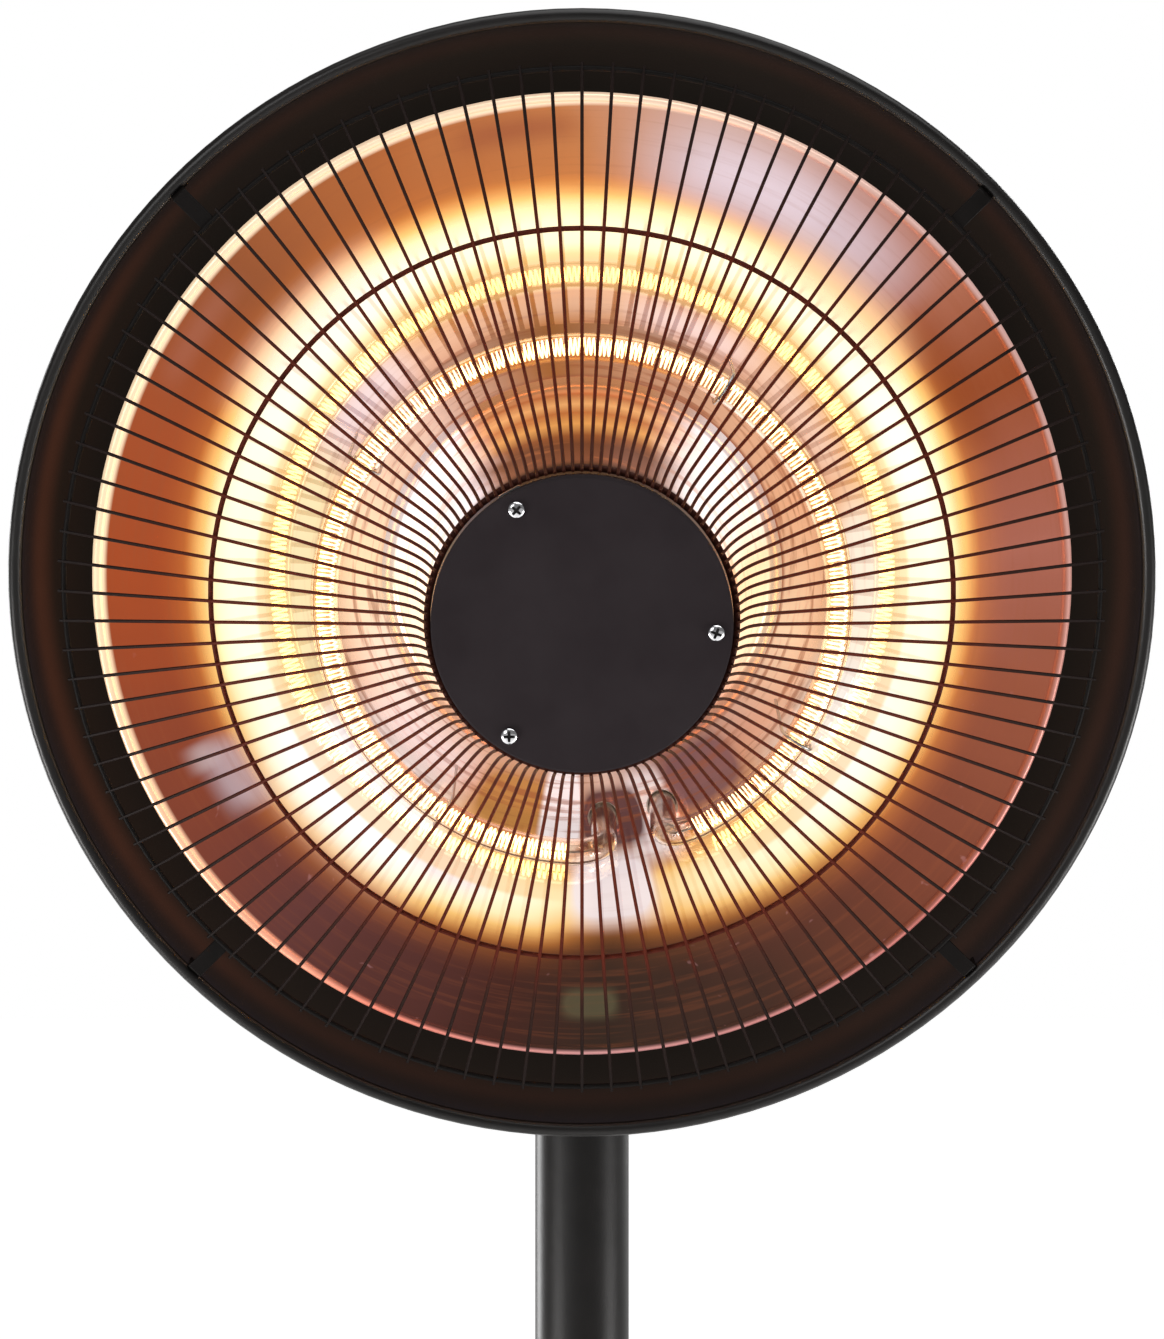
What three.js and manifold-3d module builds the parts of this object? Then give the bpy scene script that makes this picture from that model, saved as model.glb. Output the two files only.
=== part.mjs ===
// Infrared patio heater tower: a round tilting heater head on a two-piece telescopic mast and a
// weighted round base. Millimetres, +Z up. The origin is at floor level under the centre of the
// base, and the head faces -Y. In the head's own frame +Z points out of the head at the people it
// warms, +Y is up and +X is to the right as they see it; the rim of the shade is at z = 0.

import * as THREE from "three";
import { mergeVertices } from "three/addons/utils/BufferGeometryUtils.js";
import Module from "manifold-3d";

const wasm = await Module();
wasm.setup();

// ---------------------------------------------------------------- driving dimensions

// Fits
const seatGap = 0.3; // between pieces that rest on or are held by each other
const runGap = 0.4; // between pieces that slide or turn on each other
const pierceOver = 4; // how far a cutting tool stands past the faces it cuts

// Whole tower
const pivotHeight = 1915; // floor to the tilt pivot with the mast fully out
const headTilt = 12; // degrees that the head looks down at rest
const pivotToRim = 168.7; // tilt pivot to the plane of the shade's rim
const poleTopBelowPivot = 38;
const lowerPoleTop = 1150; // height of the lower pole's top end
const upperPoleOverlap = 148; // length of upper pole left inside the lower one when fully out

// Shade
const rimRadius = 210;
const beadRadius = 2.6;
const shadeWall = 1.2;
const shadeDepth = 62;
const shadeFlatRadius = 88;
const shadeOpeningRadius = 38;
const shadeSteps = 4; // facets from the rim to the flat of the back
const ventCount = 8;
const ventRadius = 118; // radius of the ring of slots through the back of the shade
const ventLength = 34;
const ventWidth = 5;

// Reflector
const lipInset = 30; // from the shade's rim to the dish's lip
const lipRadius = rimRadius - lipInset;
const lipHeight = -6;
const lipBead = 1.8;
const dishSheet = 0.8;
const dishFootRadius = 74.5;
const dishFootHeight = -27;
const dishFootWidth = 12.5; // flat foot from the dish's hole to its cone
const hubTopRadius = 50.5;
const hubFlangeInset = 4.5; // width of the hub's flat foot
const clinchNutRadius = 3.2;
const clinchNutLength = 4;
const studCount = 4;
const studRadius = 3;
const studCircle = 135;
const studFirstAngle = 12;
const domeRadius = 5.5;
const domeHeight = 4;

// Heat shield behind the reflector
const shieldSheet = 0.6;
const shieldInnerRadius = 82;
const shieldInset = 12; // from the dish's lip to the shield's edge
const shieldBehindDish = 13;
const shieldWindowRoom = 12; // round the lamp's two holders

// Guard
const wireCount = 108;
const wireSize = 1.3; // width across the square of a radial wire
const outerRingInset = 21; // from the shade's rim to the guard's outer ring
const outerRingRadius = rimRadius - outerRingInset;
const outerRingHeight = 5;
const outerRingWire = 1.2;
const midRingRadius = 134;
const midRingWire = 0.95;
const kneeOutside = 10; // wires' knee outside the top of the hub
const kneeAboveLamp = 22;
const innerRingOutside = 4; // inner ring outside the top of the hub
const innerRingAboveKnee = 11;
const innerRingWire = 0.9;
const wireRise = 5.5; // how far a wire runs on past the inner ring towards the disc
const clipCount = 4;
const clipFirstAngle = 45;
const clipWidth = 6;
const clipSheet = 1;
const tabFootHeight = -9;
const weldSink = 0.5; // how deep welded wires sink into each other

// Centre disc
const discOverhang = 2.5; // disc's edge outside the top of the hub
const discStandoff = 9; // front of the disc in front of the inner ring
const discSheet = 1;
const discSkirt = 4;
const discScrewInset = 3.5; // screws' circle inside the top of the hub
const discScrewAngles = [119, -3, 237];
const discScrewRadius = 1.5;
const discScrewHead = 3;
const discScrewHeadHeight = 1.9;
const hubPlateInset = 1.5;
const hubPlateSheet = 1.2;
const hubPlateTabWidth = 9;
const hubPlateRing = 13; // width of the plate between its edge and its hole
const spacerWall = 1.4;

// Lamp
const lampCircle = 92.6;
const lampHeight = 27;
const lampRadius = 5;
const lampWall = 1;
const lampLeftEnd = 275; // degrees round the head, where the left leg turns back
const lampRightEnd = 289;
const lampBend = 14;
const lampLegRoom = 1; // round a leg where it passes through the dish
const filamentTurns = 24;
const filamentRadius = 2.2;
const filamentWire = 0.4;
const filamentLeftStop = 267;
const filamentRightStop = 296;
const lampClipAngles = [57, 147, 237, 327];
const lampClipWire = 1.2;
const lampClipGap = 0.7; // room for the glass inside a clip's bow

// Ceramic holders and their bracket
const holderWidth = 17;
const holderDepth = 20;
const holderFloor = 8; // ceramic left under the end of a leg
const bracketSheet = 1.5;
const bracketFoot = 9;

// Rear housing
const housingRadius = 68;
const housingFlange = 11;
const housingDepth = 44;
const housingWall = 2;
const housingChamfer = 6;
const housingScrewCount = 3;
const housingScrewRadius = 2;
const housingScrewHead = 4;
const screwHeadRise = 2.4;
const tonguePlateRadius = 28;
const tonguePlateThickness = 5;
const tongueThickness = 16;
const tongueHalfHeight = 13;
const tongueScrewCircle = 19;
const tongueScrewCount = 2;
const switchRadius = 12;
const switchDepth = 22;
const switchShaftRadius = 3;
const switchShaftLength = 9; // out of the housing's back, into the knob
const terminalBlockSize = [18, 40, 14];
const tipOverSwitchSize = [20, 32, 22];
const wiringInset = 15; // from the housing's outside to the block and the tip-over switch
const powerKnobRoom = 5; // between the tilt tongue's plate and the switch's knob
const powerKnobRadius = 13;
const powerKnobHeight = 15;
const pointerWidth = 2.4;
const glandBore = 4;
const glandRadius = 9;
const glandLength = 17;

// Tilt joint
const tiltBoltRadius = 4;
const washerThickness = 1.2;
const washerRadius = 12.5;
const cheekThickness = 8;
const cheekHalfWidth = 16;
const forkDeckThickness = 9;
const forkPlugLength = 42;
const tiltKnobRadius = 22;
const tiltKnobHeight = 20;
const knobLobes = 6;
const nutRadius = 7.5;
const nutHeight = 6.5;

// Poles
const upperPoleRadius = 19;
const poleStep = 2; // room between the two tubes for the sleeve and the bush
const poleWall = 1.5;
const lowerPoleRadius = upperPoleRadius + poleStep + poleWall;
const sleeveLength = 118;
const sleeveFlange = 3; // sleeve's flange on the end of the lower pole
const mastBushLength = 28;
const mastBushFloor = 4;

// Height clamp
const collarWall = 7.5; // outside the lower pole
const collarLength = 56;
const collarAbovePole = 24;
const collarBossRadius = 11;
const collarBossStandoff = 10; // boss's face outside the collar
const heightKnobRadius = 20;
const heightKnobHeight = 22;
const heightStudRadius = 4;

// Base
const baseRadius = 250;
const coverAboveWeight = 19;
const baseCoverWall = 1.5;
const basePlateThickness = 2;
const baseRimLift = 3; // the cover's lower edge above the floor
const footHeight = 4.5;
const footRadius = 15;
const footCount = 4;
const footInset = 28; // feet's circle inside the base's edge
const weightInset = 36;
const weightShelf = 11; // flat top of the weight outside the socket's flange
const weightHeight = 37;
const socketFlangeThickness = 5.5;
const socketWall = 6.2;
const socketHeight = 62;
const socketFloor = 3;
const socketBoltOutside = 14; // bolts' circle outside the socket
const socketFlangeEdge = 12; // flange outside the bolts' circle
const socketBoltCount = 3;
const socketBoltRadius = 4;
const socketBoltHead = 6.5;
const socketBoltHeadHeight = 4;
const weldNutHeight = 3.5;
const setScrewRadius = 3;
const rosetteWidth = 21; // outside the socket
const rosetteHeight = 10;

// Fineness of the round shapes
const wideSides = 36;
const midSides = 18;
const smallSides = 8;

// ---------------------------------------------------------------- sizes that follow from the others

const kneeRadius = hubTopRadius + kneeOutside;
const kneeHeight = lampHeight + kneeAboveLamp;
const innerRingRadius = hubTopRadius + innerRingOutside;
const innerRingHeight = kneeHeight + innerRingAboveKnee;
const discRadius = hubTopRadius + discOverhang;
const discFront = innerRingHeight + discStandoff;
const discScrewCircle = hubTopRadius - discScrewInset;
const hubPlateRadius = hubTopRadius - hubPlateInset;
const hubPlateHole = hubPlateRadius - hubPlateRing;
const hubTopHoleRadius = hubPlateHole + 4;
const dishHoleRadius = dishFootRadius - dishFootWidth;
const shieldOuterRadius = lipRadius - shieldInset;
const switchOffset = tonguePlateRadius + powerKnobRadius + powerKnobRoom;
const housingScrewCircle = housingRadius + housingFlange / 2;
const housingScrewHole = housingScrewRadius + seatGap;
const collarRadius = lowerPoleRadius + collarWall;
const collarBossReach = collarRadius + collarBossStandoff;
const socketRadius = lowerPoleRadius + seatGap + socketWall;
const socketBoltCircle = socketRadius + socketBoltOutside;
const socketFlangeRadius = socketBoltCircle + socketFlangeEdge;
const rosetteRadius = socketRadius + rosetteWidth;
const weightTopRadius = socketFlangeRadius + weightShelf;
const weightRadius = baseRadius - weightInset;
const footCircle = baseRadius - footInset;

// ---------------------------------------------------------------- small helpers

const radians = THREE.MathUtils.degToRad;

function closedBody(geometry) {
  let clean = geometry.index ? geometry.toNonIndexed() : geometry;
  clean.deleteAttribute("normal");
  clean.deleteAttribute("uv");
  clean = mergeVertices(clean, 1e-4);
  const corners = clean.index.array;
  const kept = [];
  for (let i = 0; i < corners.length; i += 3) {
    const [a, b, c] = [corners[i], corners[i + 1], corners[i + 2]];
    if (a !== b && b !== c && c !== a) {
      kept.push(a, b, c);
    }
  }
  clean.setIndex(kept);
  if (enclosedVolume(clean) < 0) {
    for (let i = 0; i < kept.length; i += 3) {
      [kept[i], kept[i + 1]] = [kept[i + 1], kept[i]];
    }
    clean.setIndex(kept);
  }
  return clean;
}

function enclosedVolume(geometry) {
  const place = geometry.attributes.position;
  const corners = geometry.index.array;
  const [a, b, c] = [new THREE.Vector3(), new THREE.Vector3(), new THREE.Vector3()];
  let total = 0;
  for (let i = 0; i < corners.length; i += 3) {
    a.fromBufferAttribute(place, corners[i]);
    b.fromBufferAttribute(place, corners[i + 1]);
    c.fromBufferAttribute(place, corners[i + 2]);
    total += a.dot(b.cross(c)) / 6;
  }
  return total;
}

function toSolid(geometry) {
  const body = closedBody(geometry);
  return new wasm.Manifold(
    new wasm.Mesh({
      numProp: 3,
      vertProperties: new Float32Array(body.attributes.position.array),
      triVerts: new Uint32Array(body.index.array),
    })
  );
}

function toGeometry(solid) {
  const result = solid.getMesh();
  const geometry = new THREE.BufferGeometry();
  geometry.setAttribute("position", new THREE.BufferAttribute(result.vertProperties.slice(), 3));
  geometry.setIndex(new THREE.BufferAttribute(result.triVerts.slice(), 1));
  return geometry;
}

function cutAway(geometry, tools) {
  let solid = toSolid(geometry);
  for (const tool of tools) {
    solid = solid.subtract(toSolid(tool));
  }
  return toGeometry(solid);
}

function joinUp(geometries) {
  let solid = toSolid(geometries[0]);
  for (const other of geometries.slice(1)) {
    solid = solid.add(toSolid(other));
  }
  return toGeometry(solid);
}

// a profile of [radius, height] pairs turned round the Z axis
function turned(profile, sides) {
  const points = profile.map(([radius, height]) => new THREE.Vector2(radius, height));
  if (profile[0][0] > 0) {
    points.push(points[0].clone());
  }
  return new THREE.LatheGeometry(points, sides).rotateX(Math.PI / 2);
}

function tubeBetween(innerRadius, outerRadius, low, high, sides) {
  return turned([[innerRadius, low], [outerRadius, low], [outerRadius, high], [innerRadius, high]], sides);
}

function rodBetween(radius, low, high, sides) {
  const rod = new THREE.CylinderGeometry(radius, radius, high - low, sides);
  return rod.rotateX(Math.PI / 2).translate(0, 0, (low + high) / 2);
}

function wireRing(ringRadius, wireRadius, height) {
  return new THREE.TorusGeometry(ringRadius, wireRadius, 4, wideSides).translate(0, 0, height);
}

function blockBetween(low, high) {
  const size = high.map((value, i) => value - low[i]);
  const middle = high.map((value, i) => (value + low[i]) / 2);
  return new THREE.BoxGeometry(...size).translate(...middle);
}

// moves a shape made on the Z axis out to a radius at an angle round the Z axis
function placedAt(geometry, radius, angle) {
  return geometry.translate(radius, 0, 0).rotateZ(radians(angle));
}

function evenAngles(count, first) {
  return Array.from({ length: count }, (_, i) => first + (i * 360) / count);
}

function around(count, first, radius, make) {
  return evenAngles(count, first).map((angle) => placedAt(make(), radius, angle));
}

// the outline of a strip of even width along a bent line
function stripOutline(line, width) {
  const points = line.map(([x, y]) => new THREE.Vector2(x, y));
  const sideOne = [];
  const sideTwo = [];
  points.forEach((point, i) => {
    const before = points[Math.max(i - 1, 0)];
    const after = points[Math.min(i + 1, points.length - 1)];
    const into = i > 0 ? point.clone().sub(before).normalize() : after.clone().sub(point).normalize();
    const outOf = i < points.length - 1 ? after.clone().sub(point).normalize() : into.clone();
    const along = into.clone().add(outOf).normalize();
    const across = new THREE.Vector2(-along.y, along.x);
    const reach = width / 2 / Math.max(along.dot(into), 0.5);
    sideOne.push(point.clone().addScaledVector(across, reach));
    sideTwo.push(point.clone().addScaledVector(across, -reach));
  });
  return new THREE.Shape([...sideOne, ...sideTwo.reverse()]);
}

function slab(shape, thickness) {
  return new THREE.ExtrudeGeometry(shape, { depth: thickness, bevelEnabled: false, curveSegments: 4 });
}

// a bent wire that lies in the plane through the Z axis, at an angle round that axis
function wireInRadialPlane(line, width, angle) {
  const flat = slab(stripOutline(line, width), width).translate(0, 0, -width / 2);
  return flat.rotateX(Math.PI / 2).rotateZ(radians(angle));
}

function material(color, roughness, metalness, extra = {}) {
  return new THREE.MeshStandardMaterial({ color, roughness, metalness, ...extra });
}

// one node for each copy, numbered from 1
function pieces(parent, name, geometries, finish) {
  geometries.forEach((geometry, i) => piece(parent, `${name}_${i + 1}`, geometry, finish));
}

function piece(parent, name, geometry, finish) {
  const mesh = new THREE.Mesh(closedBody(geometry), finish);
  mesh.name = name;
  parent.add(mesh);
  return mesh;
}

// a round grip with shallow scallops between its lobes, standing on z = 0
const scallopShare = 0.08; // how deep the scallops are, as a share of the radius

function scallopedKnob(radius, height, boreRadius) {
  const shape = new THREE.Shape();
  const steps = knobLobes * 4;
  for (let i = 0; i < steps; i += 1) {
    const turn = (i / steps) * 2 * Math.PI;
    const reach = radius * (1 - scallopShare * (1 - Math.cos(turn * knobLobes)));
    if (i === 0) {
      shape.moveTo(reach, 0);
    } else {
      shape.lineTo(reach * Math.cos(turn), reach * Math.sin(turn));
    }
  }
  const bore = new THREE.Path();
  bore.absarc(0, 0, boreRadius, 0, 2 * Math.PI, true);
  shape.holes.push(bore);
  return slab(shape, height);
}

// ---------------------------------------------------------------- finishes

const satinBlack = material(0x161514, 0.42, 0.5);
const mattBlack = material(0x1a1918, 0.6, 0.1);
const polishedReflector = material(0xd9a27c, 0.16, 1);
const blackWire = material(0x15100e, 0.45, 0.4);
const discBrown = material(0x302c2e, 0.55, 0.3);
const chromed = material(0xd8d8da, 0.12, 1);
const zincSteel = material(0xa8aaac, 0.38, 0.9);
const quartz = material(0xf2ece6, 0.05, 0, { transparent: true, opacity: 0.35 });
const glowing = material(0xffb25a, 0.5, 0, { emissive: 0xff8a30 });
const whiteCeramic = material(0xe9e4da, 0.7, 0);
const siliconeLead = material(0xd8d2c6, 0.65, 0);
const concrete = material(0x77746f, 0.95, 0);
const blackRubber = material(0x121212, 0.9, 0);

// ---------------------------------------------------------------- frames

const tower = new THREE.Group();

const mast = new THREE.Group();
mast.position.set(0, 0, pivotHeight);
tower.add(mast);

// the head turns about the pivot, and its own frame starts at the rim's centre
const headAtPivot = new THREE.Group();
headAtPivot.rotation.x = radians(90 + headTilt);
mast.add(headAtPivot);
const head = new THREE.Group();
head.position.set(0, 0, pivotToRim);
headAtPivot.add(head);

// ---------------------------------------------------------------- shade

const beadCircle = rimRadius - beadRadius;

// the shade's outer or inner wall on its way back from the rim
function shadeCurve(wallRadius, depth) {
  const line = [];
  for (let i = 0; i <= shadeSteps; i += 1) {
    const turn = radians(4 + (86 * i) / shadeSteps);
    const reach = shadeFlatRadius + (wallRadius - shadeFlatRadius) * Math.cos(turn);
    line.push([reach, -depth * Math.sin(turn)]);
  }
  return line;
}

const shadeOuterLine = shadeCurve(beadCircle + shadeWall / 2, shadeDepth);
const shadeInnerLine = shadeCurve(beadCircle - shadeWall / 2, shadeDepth - shadeWall);

// height at a radius of a wall line that runs inwards from the rim
function heightOnLine(line, radius) {
  const i = line.findIndex(([reach]) => reach <= radius);
  if (i < 1) {
    return line[line.length - 1][1];
  }
  const [[outerReach, outerHeight], [innerReach, innerHeight]] = [line[i - 1], line[i]];
  const share = (radius - innerReach) / (outerReach - innerReach);
  return innerHeight + share * (outerHeight - innerHeight);
}

function shadeInnerHeight(radius) {
  return heightOnLine(shadeInnerLine, radius / Math.cos(Math.PI / wideSides));
}

// the inside of the shade at a height, measured to the middle of a facet
function shadeInnerRadius(height) {
  const swapped = shadeInnerLine.map(([reach, low]) => [low, reach]);
  return heightOnLine(swapped, height) * Math.cos(Math.PI / wideSides);
}

function shadeOuterHeight(radius) {
  return heightOnLine(shadeOuterLine, radius);
}

function makeShade() {
  const bead = [];
  for (let i = 0; i <= 5; i += 1) {
    const turn = radians(-70 + (320 * i) / 5);
    bead.push([beadCircle + beadRadius * Math.cos(turn), beadRadius * Math.sin(turn)]);
  }
  const profile = [
    [shadeOpeningRadius, -shadeDepth],
    ...shadeOuterLine.toReversed(),
    ...bead,
    ...shadeInnerLine,
    [shadeOpeningRadius, shadeWall - shadeDepth],
  ];
  const vents = around(ventCount, 360 / ventCount / 2, ventRadius, makeVentTool);
  const studHoles = around(studCount, studFirstAngle, studCircle, () =>
    rodBetween(studRadius + seatGap, -shadeDepth - pierceOver, dishFootHeight, smallSides)
  );
  const screwHoles = around(housingScrewCount, 90, housingScrewCircle, () =>
    rodBetween(housingScrewHole, -shadeDepth - pierceOver, pierceOver - shadeDepth, smallSides)
  );
  const tools = [...vents, ...studHoles, ...screwHoles];
  piece(head, "shade_shell", cutAway(turned(profile, wideSides), tools), satinBlack);
}

function makeVentTool() {
  const slot = new THREE.Shape();
  const half = (ventLength - ventWidth) / 2;
  slot.absarc(half, 0, ventWidth / 2, -Math.PI / 2, Math.PI / 2, false);
  slot.absarc(-half, 0, ventWidth / 2, Math.PI / 2, (3 * Math.PI) / 2, false);
  const depth = shadeDepth / 2;
  const tool = new THREE.ExtrudeGeometry(slot, { depth, bevelEnabled: false, curveSegments: 2 });
  return tool.translate(0, 0, -shadeDepth - pierceOver);
}

makeShade();

// ---------------------------------------------------------------- reflector

// the front of the dish is a shallow cone from its foot up to the lip
function dishFrontHeight(radius) {
  const slope = (lipHeight - dishFootHeight) / (lipRadius - dishFootRadius);
  return dishFootHeight + Math.max(radius - dishFootRadius, 0) * slope;
}

function makeDish() {
  const beadAt = lipRadius - lipBead;
  const beadHeight = lipHeight - lipBead / 2;
  const wallOut = beadAt - lipBead;
  const bead = [];
  for (let i = 0; i <= 3; i += 1) {
    const turn = radians(180 - (270 * i) / 3);
    bead.push([beadAt + lipBead * Math.cos(turn), beadHeight + lipBead * Math.sin(turn)]);
  }
  const profile = [
    [dishHoleRadius, dishFootHeight],
    [dishFootRadius, dishFootHeight],
    [wallOut, dishFrontHeight(wallOut)],
    ...bead,
    [wallOut, dishFrontHeight(wallOut) - dishSheet],
    [dishFootRadius, dishFootHeight - dishSheet],
    [dishHoleRadius, dishFootHeight - dishSheet],
  ];
  const legHoles = lampEnds.map((angle) =>
    placedAt(
      rodBetween(lampRadius + lampLegRoom, dishFootHeight - pierceOver, 0, smallSides), lampCircle, angle)
  );
  piece(head, "reflector_dish", cutAway(turned(profile, wideSides), legHoles), polishedReflector);
}

const lampEnds = [lampLeftEnd, lampRightEnd];
makeDish();

// the hub's foot lies on the flat foot of the dish, and its top carries the guard and the disc
const hubFootHeight = dishFootHeight + seatGap;
const hubPlateBack = innerRingHeight - hubPlateSheet / 2;
const hubTopHeight = hubPlateBack - seatGap;
const discScrewHole = discScrewRadius + seatGap;

function discScrewTools(low, high, radius) {
  return discScrewAngles.map((angle) =>
    placedAt(rodBetween(radius, low, high, smallSides), discScrewCircle, angle)
  );
}

function makeHub() {
  const coneFoot = dishFootRadius - hubFlangeInset;
  const profile = [
    [coneFoot - dishSheet, hubFootHeight],
    [dishFootRadius, hubFootHeight],
    [dishFootRadius, hubFootHeight + dishSheet],
    [coneFoot, hubFootHeight + dishSheet],
    [hubTopRadius + 2, hubTopHeight - 3],
    [hubTopRadius, hubTopHeight],
    [hubTopHoleRadius, hubTopHeight],
    [hubTopHoleRadius, hubTopHeight - dishSheet],
    [hubTopRadius - dishSheet, hubTopHeight - dishSheet],
    [hubTopRadius + 2 - dishSheet, hubTopHeight - 3 - dishSheet],
  ];
  const under = hubTopHeight - dishSheet;
  const nuts = discScrewTools(under - clinchNutLength, under + dishSheet / 2, clinchNutRadius);
  const holes = discScrewTools(under - 2 * clinchNutLength, hubTopHeight + pierceOver, discScrewHole);
  piece(head, "hub_cone", cutAway(joinUp([turned(profile, midSides), ...nuts]), holes), polishedReflector);
}

makeHub();

// the heat shield lies parallel to the dish; its studs stand on the shade and carry the dish
function shieldHeight(radius) {
  return dishFrontHeight(radius) - dishSheet - shieldBehindDish;
}

// a stud from the back of the dish, out through the shade to a riveted dome
function studShape() {
  const top = dishFrontHeight(studCircle - studRadius) - dishSheet - seatGap;
  const domeSeat = shadeOuterHeight(studCircle - domeRadius) - seatGap;
  return turned([
    [0, domeSeat - domeHeight],
    [domeRadius * 0.6, domeSeat - domeHeight * 0.85],
    [domeRadius, domeSeat - domeHeight * 0.3],
    [domeRadius, domeSeat],
    [studRadius, domeSeat],
    [studRadius, top],
    [0, top],
  ], smallSides);
}

function makeHeatShield() {
  const profile = [
    [shieldInnerRadius, shieldHeight(shieldInnerRadius)],
    [shieldOuterRadius, shieldHeight(shieldOuterRadius)],
    [shieldOuterRadius, shieldHeight(shieldOuterRadius) + shieldSheet],
    [shieldInnerRadius, shieldHeight(shieldInnerRadius) + shieldSheet],
  ];
  const middle = (lampLeftEnd + lampRightEnd) / 2;
  const reach = holderWidth / 2 + shieldWindowRoom;
  const window = blockBetween([-reach - holderWidth, -reach - holderWidth / 2, -shadeDepth],
    [reach, reach + holderWidth / 2, 0]);
  const pan = cutAway(turned(profile, midSides), [placedAt(window, lampCircle, middle)]);
  const studs = around(studCount, studFirstAngle, studCircle, studShape);
  piece(head, "heat_shield", joinUp([pan, ...studs]), zincSteel);
}

makeHeatShield();

// ---------------------------------------------------------------- lamp

// the ceramic holders stand behind the dish, and the lamp's legs end inside them
const holderTop = dishFrontHeight(lampCircle - holderWidth / 2) - dishSheet - seatGap;
const holderBack = holderTop - holderDepth;
const lampLegEnd = holderBack + holderFloor;

// centre line of the lamp: up one leg, round the head and down the other leg
class LampLine extends THREE.Curve {
  constructor() {
    super();
    const bendAngle = THREE.MathUtils.radToDeg(lampBend / lampCircle);
    this.ringFrom = lampRightEnd + bendAngle - 360;
    this.ringTo = lampLeftEnd - bendAngle;
    this.legLength = lampHeight - lampBend - lampLegEnd;
    this.bendLength = (lampBend * Math.PI) / 2;
    this.ringLength = radians(this.ringTo - this.ringFrom) * lampCircle;
    this.total = 2 * (this.legLength + this.bendLength) + this.ringLength;
  }

  // a point of the half with the right-hand leg, s millimetres from that leg's end
  nearEnd(s, endAngle, side) {
    let height = lampLegEnd + s;
    let alongRing = 0;
    if (s > this.legLength) {
      const turn = (s - this.legLength) / lampBend;
      height = lampHeight - lampBend + lampBend * Math.sin(turn);
      alongRing = lampBend * (1 - Math.cos(turn));
    }
    const angle = radians(endAngle) + (side * alongRing) / lampCircle;
    return new THREE.Vector3(lampCircle * Math.cos(angle), lampCircle * Math.sin(angle), height);
  }

  getPoint(t) {
    const s = t * this.total;
    const bentEnd = this.legLength + this.bendLength;
    if (s < bentEnd) {
      return this.nearEnd(s, lampRightEnd - 360, 1);
    }
    if (s > this.total - bentEnd) {
      return this.nearEnd(this.total - s, lampLeftEnd, -1);
    }
    return this.onRing(this.ringFrom + THREE.MathUtils.radToDeg((s - bentEnd) / lampCircle));
  }

  onRing(angle) {
    const turn = radians(angle);
    return new THREE.Vector3(lampCircle * Math.cos(turn), lampCircle * Math.sin(turn), lampHeight);
  }

  atAngle(angle) {
    const onRing = radians(angle - this.ringFrom) * lampCircle;
    return (this.legLength + this.bendLength + onRing) / this.total;
  }
}

const lampLine = new LampLine();

function makeLampTube() {
  const section = new THREE.Shape();
  section.absarc(0, 0, lampRadius, 0, 2 * Math.PI, false);
  const bore = new THREE.Path();
  bore.setFromPoints(evenAngles(6, 0).reverse().map((angle) =>
    new THREE.Vector2(lampRadius - lampWall, 0).rotateAround(new THREE.Vector2(), radians(angle))));
  bore.closePath();
  section.holes.push(bore);
  const options = { steps: 36, curveSegments: 4, extrudePath: lampLine, bevelEnabled: false };
  piece(head, "lamp_tube", new THREE.ExtrudeGeometry(section, options), quartz);
}

makeLampTube();

// a round wire through a list of points, closed at both ends
function wireThrough(points, wireRadius, sides) {
  const places = [];
  const corners = [];
  const forward = new THREE.Vector3();
  let side = new THREE.Vector3(1, 0, 0);
  points.forEach((point, i) => {
    const before = points[Math.max(i - 1, 0)];
    const after = points[Math.min(i + 1, points.length - 1)];
    forward.subVectors(after, before).normalize();
    side = side.clone().addScaledVector(forward, -side.dot(forward)).normalize();
    const up = new THREE.Vector3().crossVectors(forward, side);
    for (let j = 0; j < sides; j += 1) {
      const turn = (j / sides) * 2 * Math.PI;
      const corner = point.clone();
      corner.addScaledVector(side, wireRadius * Math.cos(turn));
      corner.addScaledVector(up, wireRadius * Math.sin(turn));
      places.push(corner.x, corner.y, corner.z);
    }
  });
  const last = (points.length - 1) * sides;
  for (let i = 0; i < last; i += sides) {
    for (let j = 0; j < sides; j += 1) {
      const next = (j + 1) % sides;
      corners.push(i + j, i + next, i + sides + next, i + j, i + sides + next, i + sides + j);
    }
  }
  for (let j = 1; j < sides - 1; j += 1) {
    corners.push(0, j + 1, j, last, last + j, last + j + 1);
  }
  const geometry = new THREE.BufferGeometry();
  geometry.setAttribute("position", new THREE.Float32BufferAttribute(places, 3));
  geometry.setIndex(corners);
  return geometry;
}

// the least distance between the surfaces of two stretches of a wire that are not neighbours
function leastWireGap(points, wireRadius, neighbours) {
  let least = Infinity;
  for (let i = 0; i < points.length; i += 1) {
    for (let j = i + neighbours; j < points.length; j += 1) {
      least = Math.min(least, points[i].distanceTo(points[j]));
    }
  }
  return least - 2 * wireRadius;
}

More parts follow.
